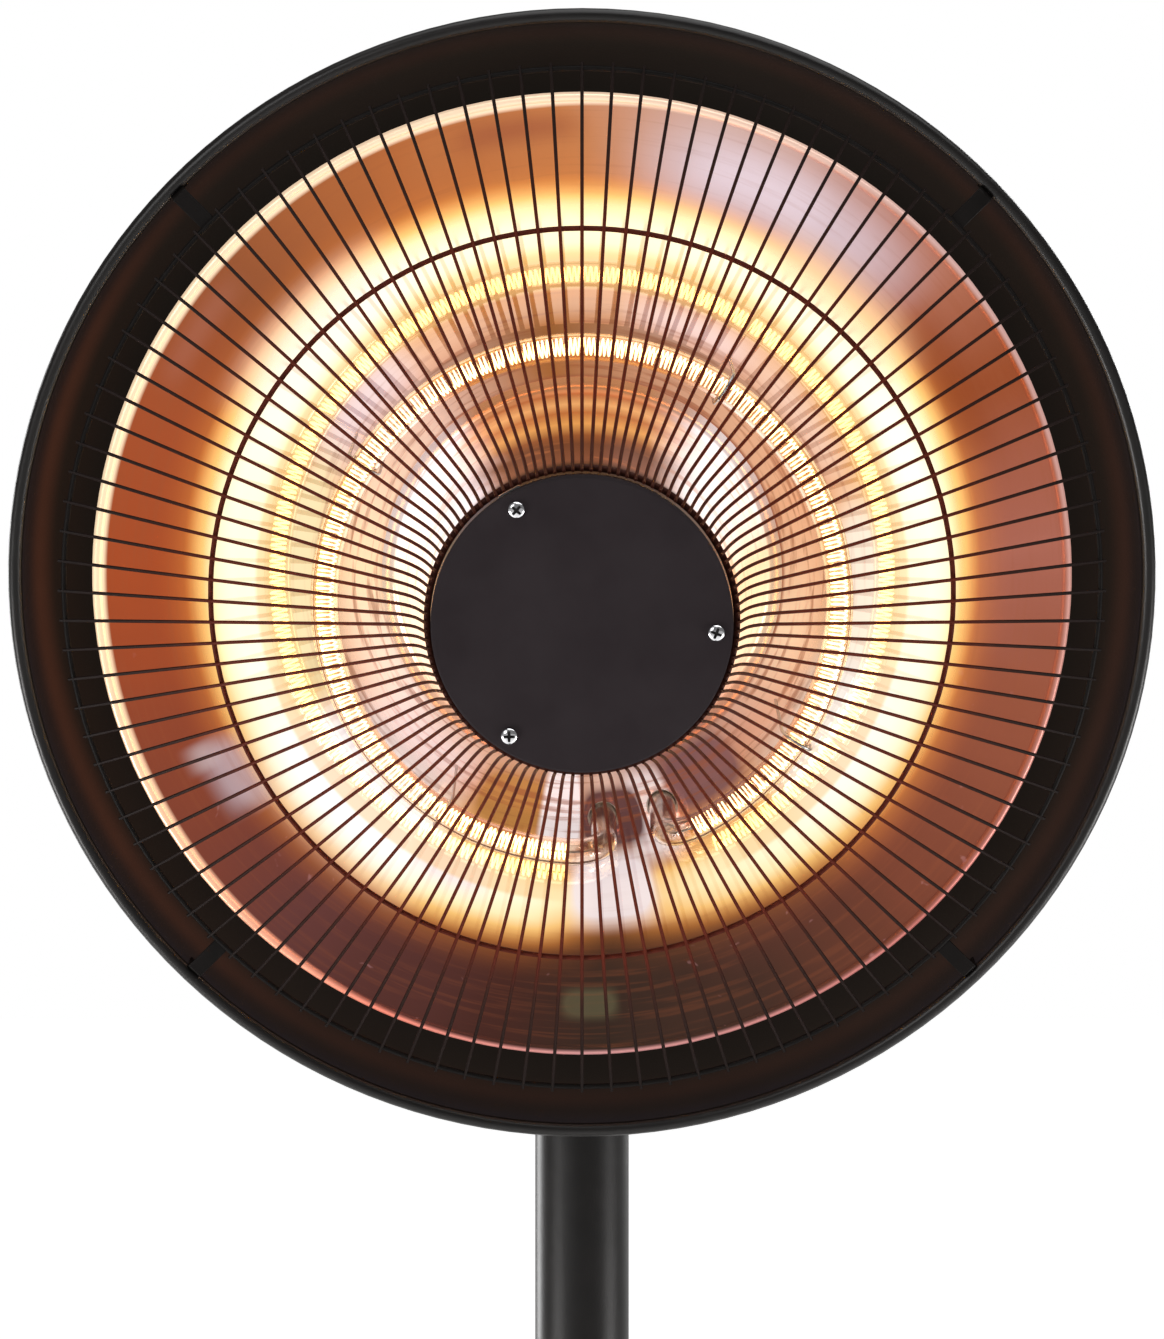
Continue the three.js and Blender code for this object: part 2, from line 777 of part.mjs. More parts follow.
function makeFilament() {
  const stepsPerTurn = 8;
  const steps = filamentTurns * stepsPerTurn;
  const from = lampLine.atAngle(filamentRightStop - 360);
  const to = lampLine.atAngle(filamentLeftStop);
  const lead = 4 / lampLine.total;
  const points = [];
  const leadSteps = 6;
  for (let i = 0; i < leadSteps; i += 1) {
    points.push(lampLine.getPoint(lead + ((from - 2 * lead) * i) / leadSteps));
  }
  for (let i = 0; i <= steps; i += 1) {
    const t = from + ((to - from) * i) / steps;
    const centre = lampLine.getPoint(t);
    const outwards = new THREE.Vector3(centre.x, centre.y, 0).normalize();
    const turn = (i / stepsPerTurn) * 2 * Math.PI;
    const grow = Math.min(1, i / stepsPerTurn, (steps - i) / stepsPerTurn);
    centre.addScaledVector(outwards, filamentRadius * grow * Math.cos(turn));
    centre.z += filamentRadius * grow * Math.sin(turn);
    points.push(centre);
  }
  for (let i = leadSteps - 1; i >= 0; i -= 1) {
    points.push(lampLine.getPoint(1 - lead - ((1 - to - 2 * lead) * i) / leadSteps));
  }
  const gap = leastWireGap(points, filamentWire, stepsPerTurn - 2);
  console.log(`lamp_filament: least gap to itself ${gap.toFixed(2)} mm`);
  piece(head, "lamp_filament", wireThrough(points, filamentWire, 5), glowing);
}

makeFilament();

function makeLampClips() {
  const bow = lampRadius + lampClipGap + lampClipWire / 2;
  const clips = lampClipAngles.map((angle) => {
    const line = [[lampCircle - bow, dishFrontHeight(lampCircle - bow + lampClipWire) + seatGap]];
    for (let i = 0; i <= 6; i += 1) {
      const turn = Math.PI * (1 - i / 6);
      line.push([lampCircle + bow * Math.cos(turn), lampHeight + bow * Math.sin(turn)]);
    }
    line.push([lampCircle + bow, dishFrontHeight(lampCircle + bow + lampClipWire) + seatGap]);
    return wireInRadialPlane(line, lampClipWire, angle);
  });
  pieces(head, "lamp_clip", clips, zincSteel);
}

makeLampClips();

// ---------------------------------------------------------------- lamp holders

function makeLampHolder(name, angle) {
  const half = holderWidth / 2;
  const block = blockBetween([-half, -half, holderBack], [half, half, holderTop]);
  const legBore = rodBetween(lampRadius + seatGap, lampLegEnd - seatGap, 0, midSides);
  const leadBore = rodBetween(leadRadius + seatGap, -shadeDepth, 0, smallSides);
  piece(head, name, placedAt(cutAway(block, [legBore, leadBore]), lampCircle, angle), whiteCeramic);
}

const leadRadius = 1.2;
const leadRoom = 1.2; // room round a lead where it passes through the bracket
makeLampHolder("lamp_holder_left", lampLeftEnd);
makeLampHolder("lamp_holder_right", lampRightEnd);

// a hat-shaped strip that carries both holders on the back of the shade
function makeHolderBracket() {
  const top = holderBack - seatGap - bracketSheet / 2;
  const spread = lampCircle * Math.sin(radians(lampRightEnd - lampLeftEnd) / 2) + holderWidth / 2 + 4;
  const furthest = Math.hypot(lampCircle + holderWidth / 2, spread + bracketFoot);
  const floor = shadeInnerHeight(furthest) + seatGap + bracketSheet / 2;
  const line = [
    [-spread - bracketFoot, floor],
    [-spread, floor],
    [-spread, top],
    [spread, top],
    [spread, floor],
    [spread + bracketFoot, floor],
  ];
  const strip = slab(stripOutline(line, bracketSheet), holderWidth - 3);
  strip.rotateX(Math.PI / 2).translate(0, (holderWidth - 3) / 2, 0);
  const leadHoles = [-1, 1].map((side) =>
    rodBetween(leadRadius + leadRoom, top - bracketSheet, top + bracketSheet, smallSides).translate(
      side * lampCircle * Math.sin(radians(lampRightEnd - lampLeftEnd) / 2), 0, 0)
  );
  const bracket = cutAway(strip, leadHoles);
  const middle = radians((lampLeftEnd + lampRightEnd) / 2);
  const reach = lampCircle * Math.cos(radians(lampRightEnd - lampLeftEnd) / 2);
  bracket.rotateZ(middle + Math.PI / 2);
  bracket.translate(reach * Math.cos(middle), reach * Math.sin(middle), 0);
  piece(head, "holder_bracket", bracket, zincSteel);
}

makeHolderBracket();

// ---------------------------------------------------------------- guard

// a radial wire runs from the inner face of the outer ring, over the mid ring, to a knee at the
// foot of the collar, and then up the outside of the inner ring
const wireRoot = outerRingRadius - outerRingWire;
const wireSlope = (kneeHeight - outerRingHeight) / (wireRoot - kneeRadius);
const wirePassRadius = innerRingRadius + innerRingWire + wireSize / 2 + seatGap;
const wireLean = (wirePassRadius - kneeRadius) / (innerRingHeight - kneeHeight);

function wireAxisHeight(radius) {
  return outerRingHeight + (wireRoot - radius) * wireSlope;
}

// the outer ring and all the radial wires as one welded body
function weldedCage() {
  const half = wireSize / 2;
  const section = [
    [wireRoot, outerRingHeight - half],
    [outerRingRadius + outerRingWire * 0.6, outerRingHeight - outerRingWire * 0.7],
    [outerRingRadius + outerRingWire * 0.6, outerRingHeight + outerRingWire * 0.7],
    [wireRoot, outerRingHeight + half],
  ];
  const slant = half * 0.75;
  const stations = [
    [[kneeRadius - slant, kneeHeight - slant], [kneeRadius + slant, kneeHeight + slant]],
    [-half, half].map((across) => [
      wirePassRadius + wireLean * wireRise + across,
      innerRingHeight + wireRise,
    ]),
  ];
  const places = [];
  const corners = [];
  const addPoint = ([radius, height], angle, across) => {
    const turn = radians(angle);
    const x = radius * Math.cos(turn) - across * Math.sin(turn);
    const y = radius * Math.sin(turn) + across * Math.cos(turn);
    places.push(x, y, height);
    return places.length / 3 - 1;
  };
  const addQuad = (a, b, c, d) => corners.push(a, b, c, a, c, d);
  const wires = evenAngles(wireCount, 0).map((angle) =>
    [-half, half].map((across) => ({
      ring: section.map((point) => addPoint(point, angle, across)),
      wire: stations.map((pair) => pair.map((point) => addPoint(point, angle, across))),
    }))
  );
  wires.forEach(([left, right], i) => {
    const [next] = wires[(i + 1) % wireCount];
    for (let k = 0; k < 4; k += 1) {
      const m = (k + 1) % 4;
      addQuad(right.ring[k], right.ring[m], next.ring[m], next.ring[k]);
      if (k < 3) {
        addQuad(left.ring[k], left.ring[m], right.ring[m], right.ring[k]);
      }
    }
    let loop = [left.ring[3], left.ring[0], right.ring[0], right.ring[3]];
    for (let station = 0; station < stations.length; station += 1) {
      const [leftLow, leftHigh] = left.wire[station];
      const [rightLow, rightHigh] = right.wire[station];
      const further = [leftHigh, leftLow, rightLow, rightHigh];
      for (let k = 0; k < 4; k += 1) {
        const m = (k + 1) % 4;
        addQuad(loop[k], loop[m], further[m], further[k]);
      }
      loop = further;
    }
    addQuad(...loop);
  });
  const cage = new THREE.BufferGeometry();
  cage.setAttribute("position", new THREE.Float32BufferAttribute(places, 3));
  cage.setIndex(corners);
  return cage;
}

// a sheet tab from the outer ring to the inside of the shade, where it clips in
function guardTab(angle) {
  const fromWall = seatGap + clipSheet / 2;
  const insideBead = (beadCircle - beadRadius) * Math.cos(Math.PI / wideSides) - fromWall;
  const under = outerRingHeight - outerRingWire + weldSink - clipSheet / 2;
  const line = [
    [Math.min(insideBead, shadeInnerRadius(tabFootHeight) - fromWall), tabFootHeight],
    [insideBead, under],
    [outerRingRadius - outerRingWire, under],
  ];
  const flat = slab(stripOutline(line, clipSheet), clipWidth).translate(0, 0, -clipWidth / 2);
  return flat.rotateX(Math.PI / 2).rotateZ(radians(angle));
}

function makeGuard() {
  const tabs = evenAngles(clipCount, clipFirstAngle).map(guardTab);
  const midRingHeight = wireAxisHeight(midRingRadius) - wireSize / 2 - midRingWire - 2 * seatGap;
  piece(head, "guard_wires", joinUp([weldedCage(), ...tabs]), blackWire);
  piece(head, "guard_mid_ring", wireRing(midRingRadius, midRingWire, midRingHeight), blackWire);
  piece(head, "guard_inner_ring", wireRing(innerRingRadius, innerRingWire, innerRingHeight), blackWire);
}

makeGuard();

// ---------------------------------------------------------------- centre disc

const hubPlateFront = innerRingHeight + hubPlateSheet / 2;
const discBack = discFront - discSheet;

function makeHubPlate() {
  const tabReach = innerRingRadius - innerRingWire - 2 * seatGap;
  const plate = rodBetween(hubPlateRadius, hubPlateBack, hubPlateFront, midSides);
  const tabs = discScrewAngles.map((angle) => {
    const half = hubPlateTabWidth / 2;
    return blockBetween([0, -half, hubPlateBack], [tabReach, half, hubPlateFront]).rotateZ(radians(angle));
  });
  const spacerRadius = discScrewHole + spacerWall;
  const spacers = discScrewTools(hubPlateFront - hubPlateSheet / 2, discBack - seatGap, spacerRadius);
  const hole = rodBetween(hubPlateHole, hubPlateBack - pierceOver, discFront, midSides);
  const screwHoles = discScrewTools(hubPlateBack - pierceOver, discFront, discScrewHole);
  const whole = joinUp([plate, ...tabs, ...spacers]);
  piece(head, "guard_hub_plate", cutAway(whole, [hole, ...screwHoles]), zincSteel);
}

makeHubPlate();

function makeDisc() {
  const round = 1.6;
  const profile = [
    [0, discFront],
    [discRadius - round, discFront],
    [discRadius - round * 0.3, discFront - round * 0.3],
    [discRadius, discFront - round],
    [discRadius, discFront - discSkirt],
    [discRadius - discSheet, discFront - discSkirt],
    [discRadius - discSheet, discBack],
    [0, discBack],
  ];
  const holes = discScrewTools(discBack - pierceOver, discFront + pierceOver, discScrewHole);
  piece(head, "centre_disc", cutAway(turned(profile, wideSides), holes), discBrown);
}

makeDisc();

// screws through the disc, the hub plate's spacers and the hub, into its clinch nuts
function makeDiscScrews() {
  const headSeat = discFront + seatGap;
  const shankEnd = hubTopHeight - dishSheet - clinchNutLength - 1;
  const rise = discScrewHeadHeight;
  const screws = discScrewAngles.map((angle) =>
    placedAt(turned([
      [0, shankEnd],
      [discScrewRadius, shankEnd],
      [discScrewRadius, headSeat],
      [discScrewHead, headSeat],
      [discScrewHead, headSeat + rise * 0.5],
      [discScrewHead * 0.62, headSeat + rise],
      [0, headSeat + rise],
    ], smallSides), discScrewCircle, angle)
  );
  pieces(head, "disc_screw", screws, chromed);
}

makeDiscScrews();

// ---------------------------------------------------------------- rear housing

const housingSeat = -shadeDepth - seatGap;
const housingBack = housingSeat - housingDepth;
const glandHeight = (housingSeat + housingBack) / 2;

function makeHousing() {
  const profile = [
    [0, housingBack],
    [housingRadius - housingChamfer, housingBack],
    [housingRadius, housingBack + housingChamfer],
    [housingRadius, housingSeat - housingWall],
    [housingRadius + housingFlange, housingSeat - housingWall],
    [housingRadius + housingFlange, housingSeat],
    [housingRadius - housingWall, housingSeat],
    [housingRadius - housingWall, housingBack + housingChamfer],
    [housingRadius - housingChamfer, housingBack + housingWall],
    [0, housingBack + housingWall],
  ];
  const tools = [
    rodBetween(switchShaftRadius + 1, housingBack - pierceOver, housingBack + pierceOver, smallSides).translate(
      0, switchOffset, 0),
    rodBetween(glandBore + 2 + seatGap, -pierceOver, pierceOver, smallSides).rotateX(Math.PI / 2).translate(
      0, -housingRadius, glandHeight),
    ...around(housingScrewCount, 90, housingScrewCircle, () =>
      rodBetween(housingScrewHole, housingSeat - 2 * pierceOver, housingSeat + pierceOver, smallSides)
    ),
    ...around(tongueScrewCount, 0, tongueScrewCircle, () =>
      rodBetween(housingScrewHole, housingBack - pierceOver, housingBack + pierceOver, smallSides)
    ),
  ];
  piece(head, "rear_housing", cutAway(turned(profile, midSides), tools), satinBlack);
}

makeHousing();

function makeHousingScrews() {
  const headSeat = housingSeat - housingWall - seatGap;
  const screws = around(housingScrewCount, 90, housingScrewCircle, () =>
    panScrew(headSeat, housingSeat + shadeWall + 4, -1)
  );
  pieces(head, "housing_screw", screws, zincSteel);
}

// a screw along Z with its head outside headSeat, on the side that direction gives
function panScrew(headSeat, shankEnd, direction) {
  const rise = screwHeadRise * direction;
  return turned([[0, shankEnd], [housingScrewRadius, shankEnd], [housingScrewRadius, headSeat],
    [housingScrewHead, headSeat], [housingScrewHead, headSeat + rise * 0.5],
    [housingScrewHead * 0.6, headSeat + rise], [0, headSeat + rise]], smallSides);
}

makeHousingScrews();

// ---------------------------------------------------------------- switch, wiring and inlet

function makeSwitchAndWiring() {
  const inside = housingBack + housingWall + seatGap;
  const shaftEnd = housingBack - switchShaftLength;
  const body = joinUp([
    rodBetween(switchRadius, inside, inside + switchDepth, midSides),
    rodBetween(switchShaftRadius, shaftEnd, inside + 1, smallSides),
  ]);
  piece(head, "rotary_switch", body.translate(0, switchOffset, 0), mattBlack);

  const [blockWidth, blockLength, blockHeight] = terminalBlockSize;
  const blockTop = inside + blockHeight;
  const block = blockBetween([0, -blockLength / 2, inside], [blockWidth, blockLength / 2, blockTop]);
  piece(head, "terminal_block", block.translate(wiringInset - housingRadius, 0, 0), whiteCeramic);

  const [tipWidth, tipLength, tipHeight] = tipOverSwitchSize;
  const tipSwitch = blockBetween([-tipWidth, -tipLength / 2, inside], [0, tipLength / 2, inside + tipHeight]);
  piece(head, "tip_over_switch", tipSwitch.translate(housingRadius - wiringInset, 0, 0), mattBlack);
}

makeSwitchAndWiring();

function makePowerKnob() {
  const seat = housingBack - runGap;
  const knob = scallopedKnob(powerKnobRadius, powerKnobHeight, switchShaftRadius + runGap);
  const cap = rodBetween(powerKnobRadius * 0.6, powerKnobHeight - 3, powerKnobHeight, midSides);
  const half = pointerWidth / 2;
  const pointer = blockBetween([-half, pointerWidth, powerKnobHeight - 1],
    [half, powerKnobRadius * 0.82, powerKnobHeight + half]);
  const whole = joinUp([knob, cap, pointer]).rotateX(Math.PI);
  piece(head, "power_knob", whole.translate(0, switchOffset, seat), mattBlack);
}

makePowerKnob();

// a lamp lead runs from the back of a holder to the terminal block
function makeLampLead(name, angle, blockPlace) {
  const turn = radians(angle);
  const inwards = new THREE.Vector3(Math.cos(turn), Math.sin(turn), 0);
  const start = inwards.clone().multiplyScalar(lampCircle).setZ(lampLegEnd - 2 * seatGap);
  const below = holderBack - seatGap - bracketSheet - seatGap;
  const bendAt = (below + shadeInnerHeight(lampCircle)) / 2 - seatGap;
  const line = new THREE.CatmullRomCurve3([
    start,
    start.clone().setZ(below + 0.6),
    inwards.clone().multiplyScalar(lampCircle - 3.5).setZ(bendAt),
    inwards.clone().multiplyScalar(lampCircle - 22).setZ(bendAt),
    inwards.clone().multiplyScalar(30).setZ(bendAt),
    new THREE.Vector3(blockPlace[0] * 0.55, blockPlace[1] * 0.8 - 4, -shadeDepth - 8),
    new THREE.Vector3(blockPlace[0], blockPlace[1], blockPlace[2] + 12),
    new THREE.Vector3(...blockPlace),
  ], false, "centripetal");
  const section = new THREE.Shape();
  section.absarc(0, 0, leadRadius, 0, 2 * Math.PI, false);
  const options = { steps: 15, curveSegments: 3, extrudePath: line, bevelEnabled: false };
  piece(head, name, new THREE.ExtrudeGeometry(section, options), siliconeLead);
}

const [terminalWidth, terminalLength, terminalHeight] = terminalBlockSize;
const terminalTop = housingBack + housingWall + seatGap + terminalHeight + seatGap;
const terminalMiddle = wiringInset - housingRadius + terminalWidth / 2;
makeLampLead("lamp_lead_left", lampLeftEnd, [terminalMiddle - 2, -terminalLength * 0.38, terminalTop]);
makeLampLead("lamp_lead_right", lampRightEnd, [terminalMiddle + 3, -terminalLength * 0.15, terminalTop]);

// the supply enters through a gland in the underside of the housing
function makeGland() {
  const wallOutside = housingRadius + seatGap;
  const wallInside = housingRadius - housingWall;
  const gland = joinUp([
    tubeBetween(glandBore, glandRadius, wallOutside, wallOutside + 5, 6),
    tubeBetween(glandBore, glandRadius - 2, wallOutside + 4, wallOutside + glandLength, smallSides),
    tubeBetween(glandBore, glandBore + 2, wallInside - 6, wallOutside + 1, smallSides),
    tubeBetween(glandBore, glandRadius - 2, wallInside - 6, wallInside - 2, smallSides),
  ]);
  piece(head, "cable_gland", gland.rotateX(Math.PI / 2).translate(0, 0, glandHeight), mattBlack);
}

makeGland();

// ---------------------------------------------------------------- tilt tongue on the head

const tonguePlateSeat = housingBack - seatGap;
const tongueTip = -pivotToRim; // the pivot's place in the head's frame

function makeTongue() {
  const plateBack = tonguePlateSeat - tonguePlateThickness;
  const plate = rodBetween(tonguePlateRadius, plateBack, tonguePlateSeat, midSides);
  const lug = new THREE.Shape();
  const start = plateBack + 1;
  lug.moveTo(start, -tongueHalfHeight);
  lug.lineTo(start, tongueHalfHeight);
  lug.absarc(tongueTip, 0, tongueHalfHeight, Math.PI / 2, (3 * Math.PI) / 2, false);
  const hole = new THREE.Path();
  hole.absarc(tongueTip, 0, tiltBoltRadius + runGap, 0, 2 * Math.PI, true);
  lug.holes.push(hole);
  const solidLug = slab(lug, tongueThickness).translate(0, 0, -tongueThickness / 2);
  solidLug.rotateY(-Math.PI / 2);
  const screwHoles = around(tongueScrewCount, 0, tongueScrewCircle, () =>
    rodBetween(housingScrewHole, tonguePlateSeat - 3 * pierceOver, tonguePlateSeat + pierceOver, smallSides)
  );
  piece(head, "tilt_tongue", cutAway(joinUp([plate, solidLug]), screwHoles), satinBlack);
  const headSeat = plateBack - seatGap;
  const screws = around(tongueScrewCount, 0, tongueScrewCircle, () =>
    panScrew(headSeat, housingBack + housingWall + 2, -1)
  );
  pieces(head, "tongue_screw", screws, zincSteel);
}

makeTongue();

// ---------------------------------------------------------------- fork, bolt and tilt knob

const washerInside = tongueThickness / 2 + runGap;
const cheekInside = washerInside + washerThickness + seatGap;
const cheekOutside = cheekInside + cheekThickness;

function alongX(geometry) {
  return geometry.rotateY(Math.PI / 2);
}

function makeFork() {
  const deckTop = forkDeckThickness - poleTopBelowPivot;
  const cheekShape = new THREE.Shape();
  cheekShape.moveTo(deckTop - 1, cheekHalfWidth);
  cheekShape.lineTo(deckTop - 1, -cheekHalfWidth);
  cheekShape.absarc(0, 0, cheekHalfWidth, -Math.PI / 2, Math.PI / 2, false);
  const hole = new THREE.Path();
  hole.absarc(0, 0, tiltBoltRadius + seatGap, 0, 2 * Math.PI, true);
  cheekShape.holes.push(hole);
  const cheeks = [-1, 1].map((side) => {
    const cheek = slab(cheekShape, cheekThickness).translate(0, 0, -cheekThickness / 2);
    // the outline's first axis becomes up, and its thickness lies across the mast
    return cheek.rotateY(-Math.PI / 2).translate((side * (cheekInside + cheekOutside)) / 2, 0, 0);
  });
  const deck = rodBetween(deckRadius, -poleTopBelowPivot + seatGap, deckTop, midSides);
  const plugRadius = upperPoleRadius - poleWall - seatGap;
  const plug = tubeBetween(plugRadius - 4, plugRadius, -poleTopBelowPivot - forkPlugLength,
    -poleTopBelowPivot + seatGap + 1, midSides);
  const fork = cutAway(joinUp([deck, ...cheeks, plug]), [rivetBore(forkRivetHeight)]);
  piece(mast, "tilt_fork", fork, satinBlack);
}

const deckRadius = cheekOutside + 1.5;
const forkRivetRadius = 2.5;
const forkRivetHead = 4.7;
const forkRivetHeight = -poleTopBelowPivot - forkPlugLength / 2;

// the hole for the rivet that holds the fork's plug in the mast
function rivetBore(height) {
  const bore = rodBetween(forkRivetRadius + seatGap, -lowerPoleRadius, lowerPoleRadius, smallSides);
  return alongX(bore).translate(0, 0, height);
}

makeFork();

function makeTiltHardware() {
  const washers = [-1, 1].map((side) =>
    alongX(tubeBetween(tiltBoltRadius + seatGap, washerRadius, washerInside, washerInside + washerThickness,
      smallSides)).rotateZ(side > 0 ? 0 : Math.PI)
  );
  pieces(mast, "friction_washer", washers, mattBlack);
  const headSeat = -cheekOutside - seatGap;
  const threadEnd = cheekOutside + tiltKnobHeight - 4;
  const bolt = joinUp([
    rodBetween(tiltBoltRadius, headSeat - 1, threadEnd, smallSides),
    rodBetween(nutRadius, headSeat - nutHeight, headSeat, 6),
  ]);
  piece(mast, "tilt_bolt", alongX(bolt), zincSteel);
  const blindKnob = joinUp([
    scallopedKnob(tiltKnobRadius, tiltKnobHeight, tiltBoltRadius + runGap),
    rodBetween(tiltKnobRadius * 0.55, tiltKnobHeight - 3, tiltKnobHeight, midSides),
  ]);
  piece(mast, "tilt_knob", alongX(blindKnob.translate(0, 0, cheekOutside + runGap)), mattBlack);
}

makeTiltHardware();

// ---------------------------------------------------------------- mast

const upperPoleBottom = lowerPoleTop - upperPoleOverlap;
const mastBushRadius = lowerPoleRadius - poleWall - runGap;

function makeUpperPole() {
  const top = pivotHeight - poleTopBelowPivot;
  const tube = tubeBetween(upperPoleRadius - poleWall, upperPoleRadius, upperPoleBottom, top, midSides);
  const rivetHeight = pivotHeight + forkRivetHeight;
  piece(tower, "upper_pole", cutAway(tube, [rivetBore(rivetHeight)]), satinBlack);
  const rivetSeat = upperPoleRadius + seatGap;
  const rivetEnd = rivetSeat + screwHeadRise;
  const rivet = turned([
    [0, -rivetEnd],
    [forkRivetHead - 1.2, -rivetEnd],
    [forkRivetHead, -rivetSeat],
    [forkRivetRadius, -rivetSeat],
    [forkRivetRadius, rivetSeat],
    [forkRivetHead, rivetSeat],
    [forkRivetHead - 1.2, rivetEnd],
    [0, rivetEnd],
  ], smallSides);
  piece(tower, "fork_rivet", alongX(rivet).translate(0, 0, rivetHeight), zincSteel);
  const plugTop = upperPoleBottom + mastBushLength;
  const bush = turned([
    [upperPoleRadius - poleWall - mastBushFloor, upperPoleBottom - mastBushFloor],
    [mastBushRadius, upperPoleBottom - mastBushFloor],
    [mastBushRadius, plugTop],
    [upperPoleRadius + seatGap, plugTop],
    [upperPoleRadius + seatGap, upperPoleBottom - seatGap],
    [upperPoleRadius - poleWall - mastBushFloor, upperPoleBottom - seatGap],
  ], midSides);
  piece(tower, "mast_bush", bush, mattBlack);
}

makeUpperPole();

// ---------------------------------------------------------------- base

const plateLow = footHeight + seatGap;
const weightLow = plateLow + basePlateThickness + seatGap;
const weightTop = weightLow + weightHeight;
const flangeLow = weightTop + seatGap;
const flangeTop = flangeLow + socketFlangeThickness;
const socketBore = lowerPoleRadius + seatGap;
const socketTop = flangeLow + socketHeight;
const lowerPoleBottom = flangeLow + socketFloor + seatGap;

// the weight and the cover share one dome, from the rim up to the top of the base
function crownHeight(radius, low, high, innerRadius, outerRadius) {
  const share = Math.min(Math.max((radius - innerRadius) / (outerRadius - innerRadius), 0), 1);
  return low + (high - low) * Math.sqrt(1 - share ** 2.4);
}

function crownLine(low, high, innerRadius, outerRadius, steps) {
  const line = [];
  for (let i = 0; i <= steps; i += 1) {
    const radius = innerRadius + (outerRadius - innerRadius) * Math.sin((Math.PI / 2) * (1 - i / steps));
    line.push([radius, crownHeight(radius, low, high, innerRadius, outerRadius)]);
  }
  return line;
}

function makeBaseCover() {
  const coverTop = weightTop + coverAboveWeight;
  const holeRadius = socketRadius + 2;
  const shoulder = baseRimLift + 9;
  const outer = crownLine(shoulder, coverTop, rosetteRadius, baseRadius, 3);
  const inner = crownLine(shoulder - baseCoverWall, coverTop - baseCoverWall, rosetteRadius,
    baseRadius - baseCoverWall, 3).reverse();
  const profile = [
    [baseRadius - baseCoverWall, baseRimLift],
    [baseRadius, baseRimLift],
    ...outer,
    [holeRadius, coverTop],
    [holeRadius, coverTop - baseCoverWall],
    ...inner,
  ];
  piece(tower, "base_cover", turned(profile, wideSides), satinBlack);
  const rosette = turned([
    [socketRadius + seatGap, coverTop + seatGap],
    [rosetteRadius, coverTop + seatGap],
    [rosetteRadius - 2, coverTop + rosetteHeight * 0.4],
    [socketRadius + rosetteWidth * 0.3, coverTop + rosetteHeight * 0.9],
    [socketRadius + seatGap, coverTop + rosetteHeight],
  ], midSides);
  piece(tower, "base_rosette", rosette, mattBlack);
}

makeBaseCover();

function makeWeightAndPlate() {
  const line = crownLine(weightLow + 3, weightTop, weightTopRadius, weightRadius, 3);
  const profile = [[0, weightLow], [weightRadius, weightLow], ...line, [0, weightTop]];
  const pockets = around(socketBoltCount, 30, socketBoltCircle, () =>
    rodBetween(socketBoltRadius + seatGap, weightLow - pierceOver, weightTop + pierceOver, smallSides)
  );
  piece(tower, "base_weight", cutAway(turned(profile, midSides), pockets), concrete);
  const plateRadius = baseRadius - baseCoverWall - seatGap - 1;
  const boltHoles = around(socketBoltCount, 30, socketBoltCircle, () =>
    rodBetween(socketBoltRadius + seatGap, 0, weightLow + pierceOver, smallSides)
  );
  const plate = rodBetween(plateRadius, plateLow, plateLow + basePlateThickness, wideSides);
  const weldNuts = around(socketBoltCount, 30, socketBoltCircle, () =>
    rodBetween(socketBoltHead, plateLow - weldNutHeight, plateLow + basePlateThickness / 2, 6)
  );
  piece(tower, "base_plate", cutAway(joinUp([plate, ...weldNuts]), boltHoles), zincSteel);
  const feet = around(footCount, 45, footCircle, () =>
    turned([[0, 0], [footRadius - 1, 0], [footRadius, 1], [footRadius, footHeight], [0, footHeight]], smallSides)
  );
  pieces(tower, "rubber_foot", feet, blackRubber);
}

makeWeightAndPlate();

function makeSocket() {
  const profile = [
    [0, flangeLow],
    [socketFlangeRadius, flangeLow],
    [socketFlangeRadius, flangeTop],
    [socketRadius, flangeTop],
    [socketRadius, socketTop],
    [socketBore, socketTop],
    [socketBore, flangeLow + socketFloor],
    [0, flangeLow + socketFloor],
  ];
  const boltHoles = around(socketBoltCount, 30, socketBoltCircle, () =>
    rodBetween(socketBoltRadius + seatGap, flangeLow - pierceOver, flangeTop + pierceOver, smallSides)
  );
  const screwBore = alongX(rodBetween(setScrewRadius + seatGap, 0, socketRadius + pierceOver, smallSides));
  screwBore.rotateZ(Math.PI / 2).translate(0, 0, setScrewHeight);
  piece(tower, "pole_socket", cutAway(turned(profile, midSides), [...boltHoles, screwBore]), satinBlack);
  const screw = alongX(rodBetween(setScrewRadius, lowerPoleRadius + seatGap, socketRadius - 0.5, smallSides));
  piece(tower, "socket_set_screw", screw.rotateZ(Math.PI / 2).translate(0, 0, setScrewHeight), zincSteel);
}

const setScrewHeight = socketTop - 12;
makeSocket();

function makeSocketBolts() {
  const headSeat = flangeTop + seatGap;
  const boltEnd = plateLow - weldNutHeight + 0.5;
  const bolts = around(socketBoltCount, 30, socketBoltCircle, () =>
    joinUp([
      rodBetween(socketBoltRadius, boltEnd, headSeat + 1, smallSides),
      rodBetween(socketBoltHead, headSeat, headSeat + socketBoltHeadHeight, 6),
    ])
  );
  pieces(tower, "socket_bolt", bolts, zincSteel);
}

makeSocketBolts();

function makeLowerPole() {
  const tube = tubeBetween(lowerPoleRadius - poleWall, lowerPoleRadius, lowerPoleBottom, lowerPoleTop, midSides);
  piece(tower, "lower_pole", tube, satinBlack);
  const sleeve = turned([
    [upperPoleRadius + runGap, lowerPoleTop - sleeveLength],
    [lowerPoleRadius - poleWall - seatGap, lowerPoleTop - sleeveLength],
    [lowerPoleRadius - poleWall - seatGap, lowerPoleTop + seatGap],
    [lowerPoleRadius, lowerPoleTop + seatGap],
    [lowerPoleRadius, lowerPoleTop + sleeveFlange],
    [upperPoleRadius + runGap, lowerPoleTop + sleeveFlange],
  ], midSides);
  piece(tower, "guide_sleeve", sleeve, mattBlack);
}

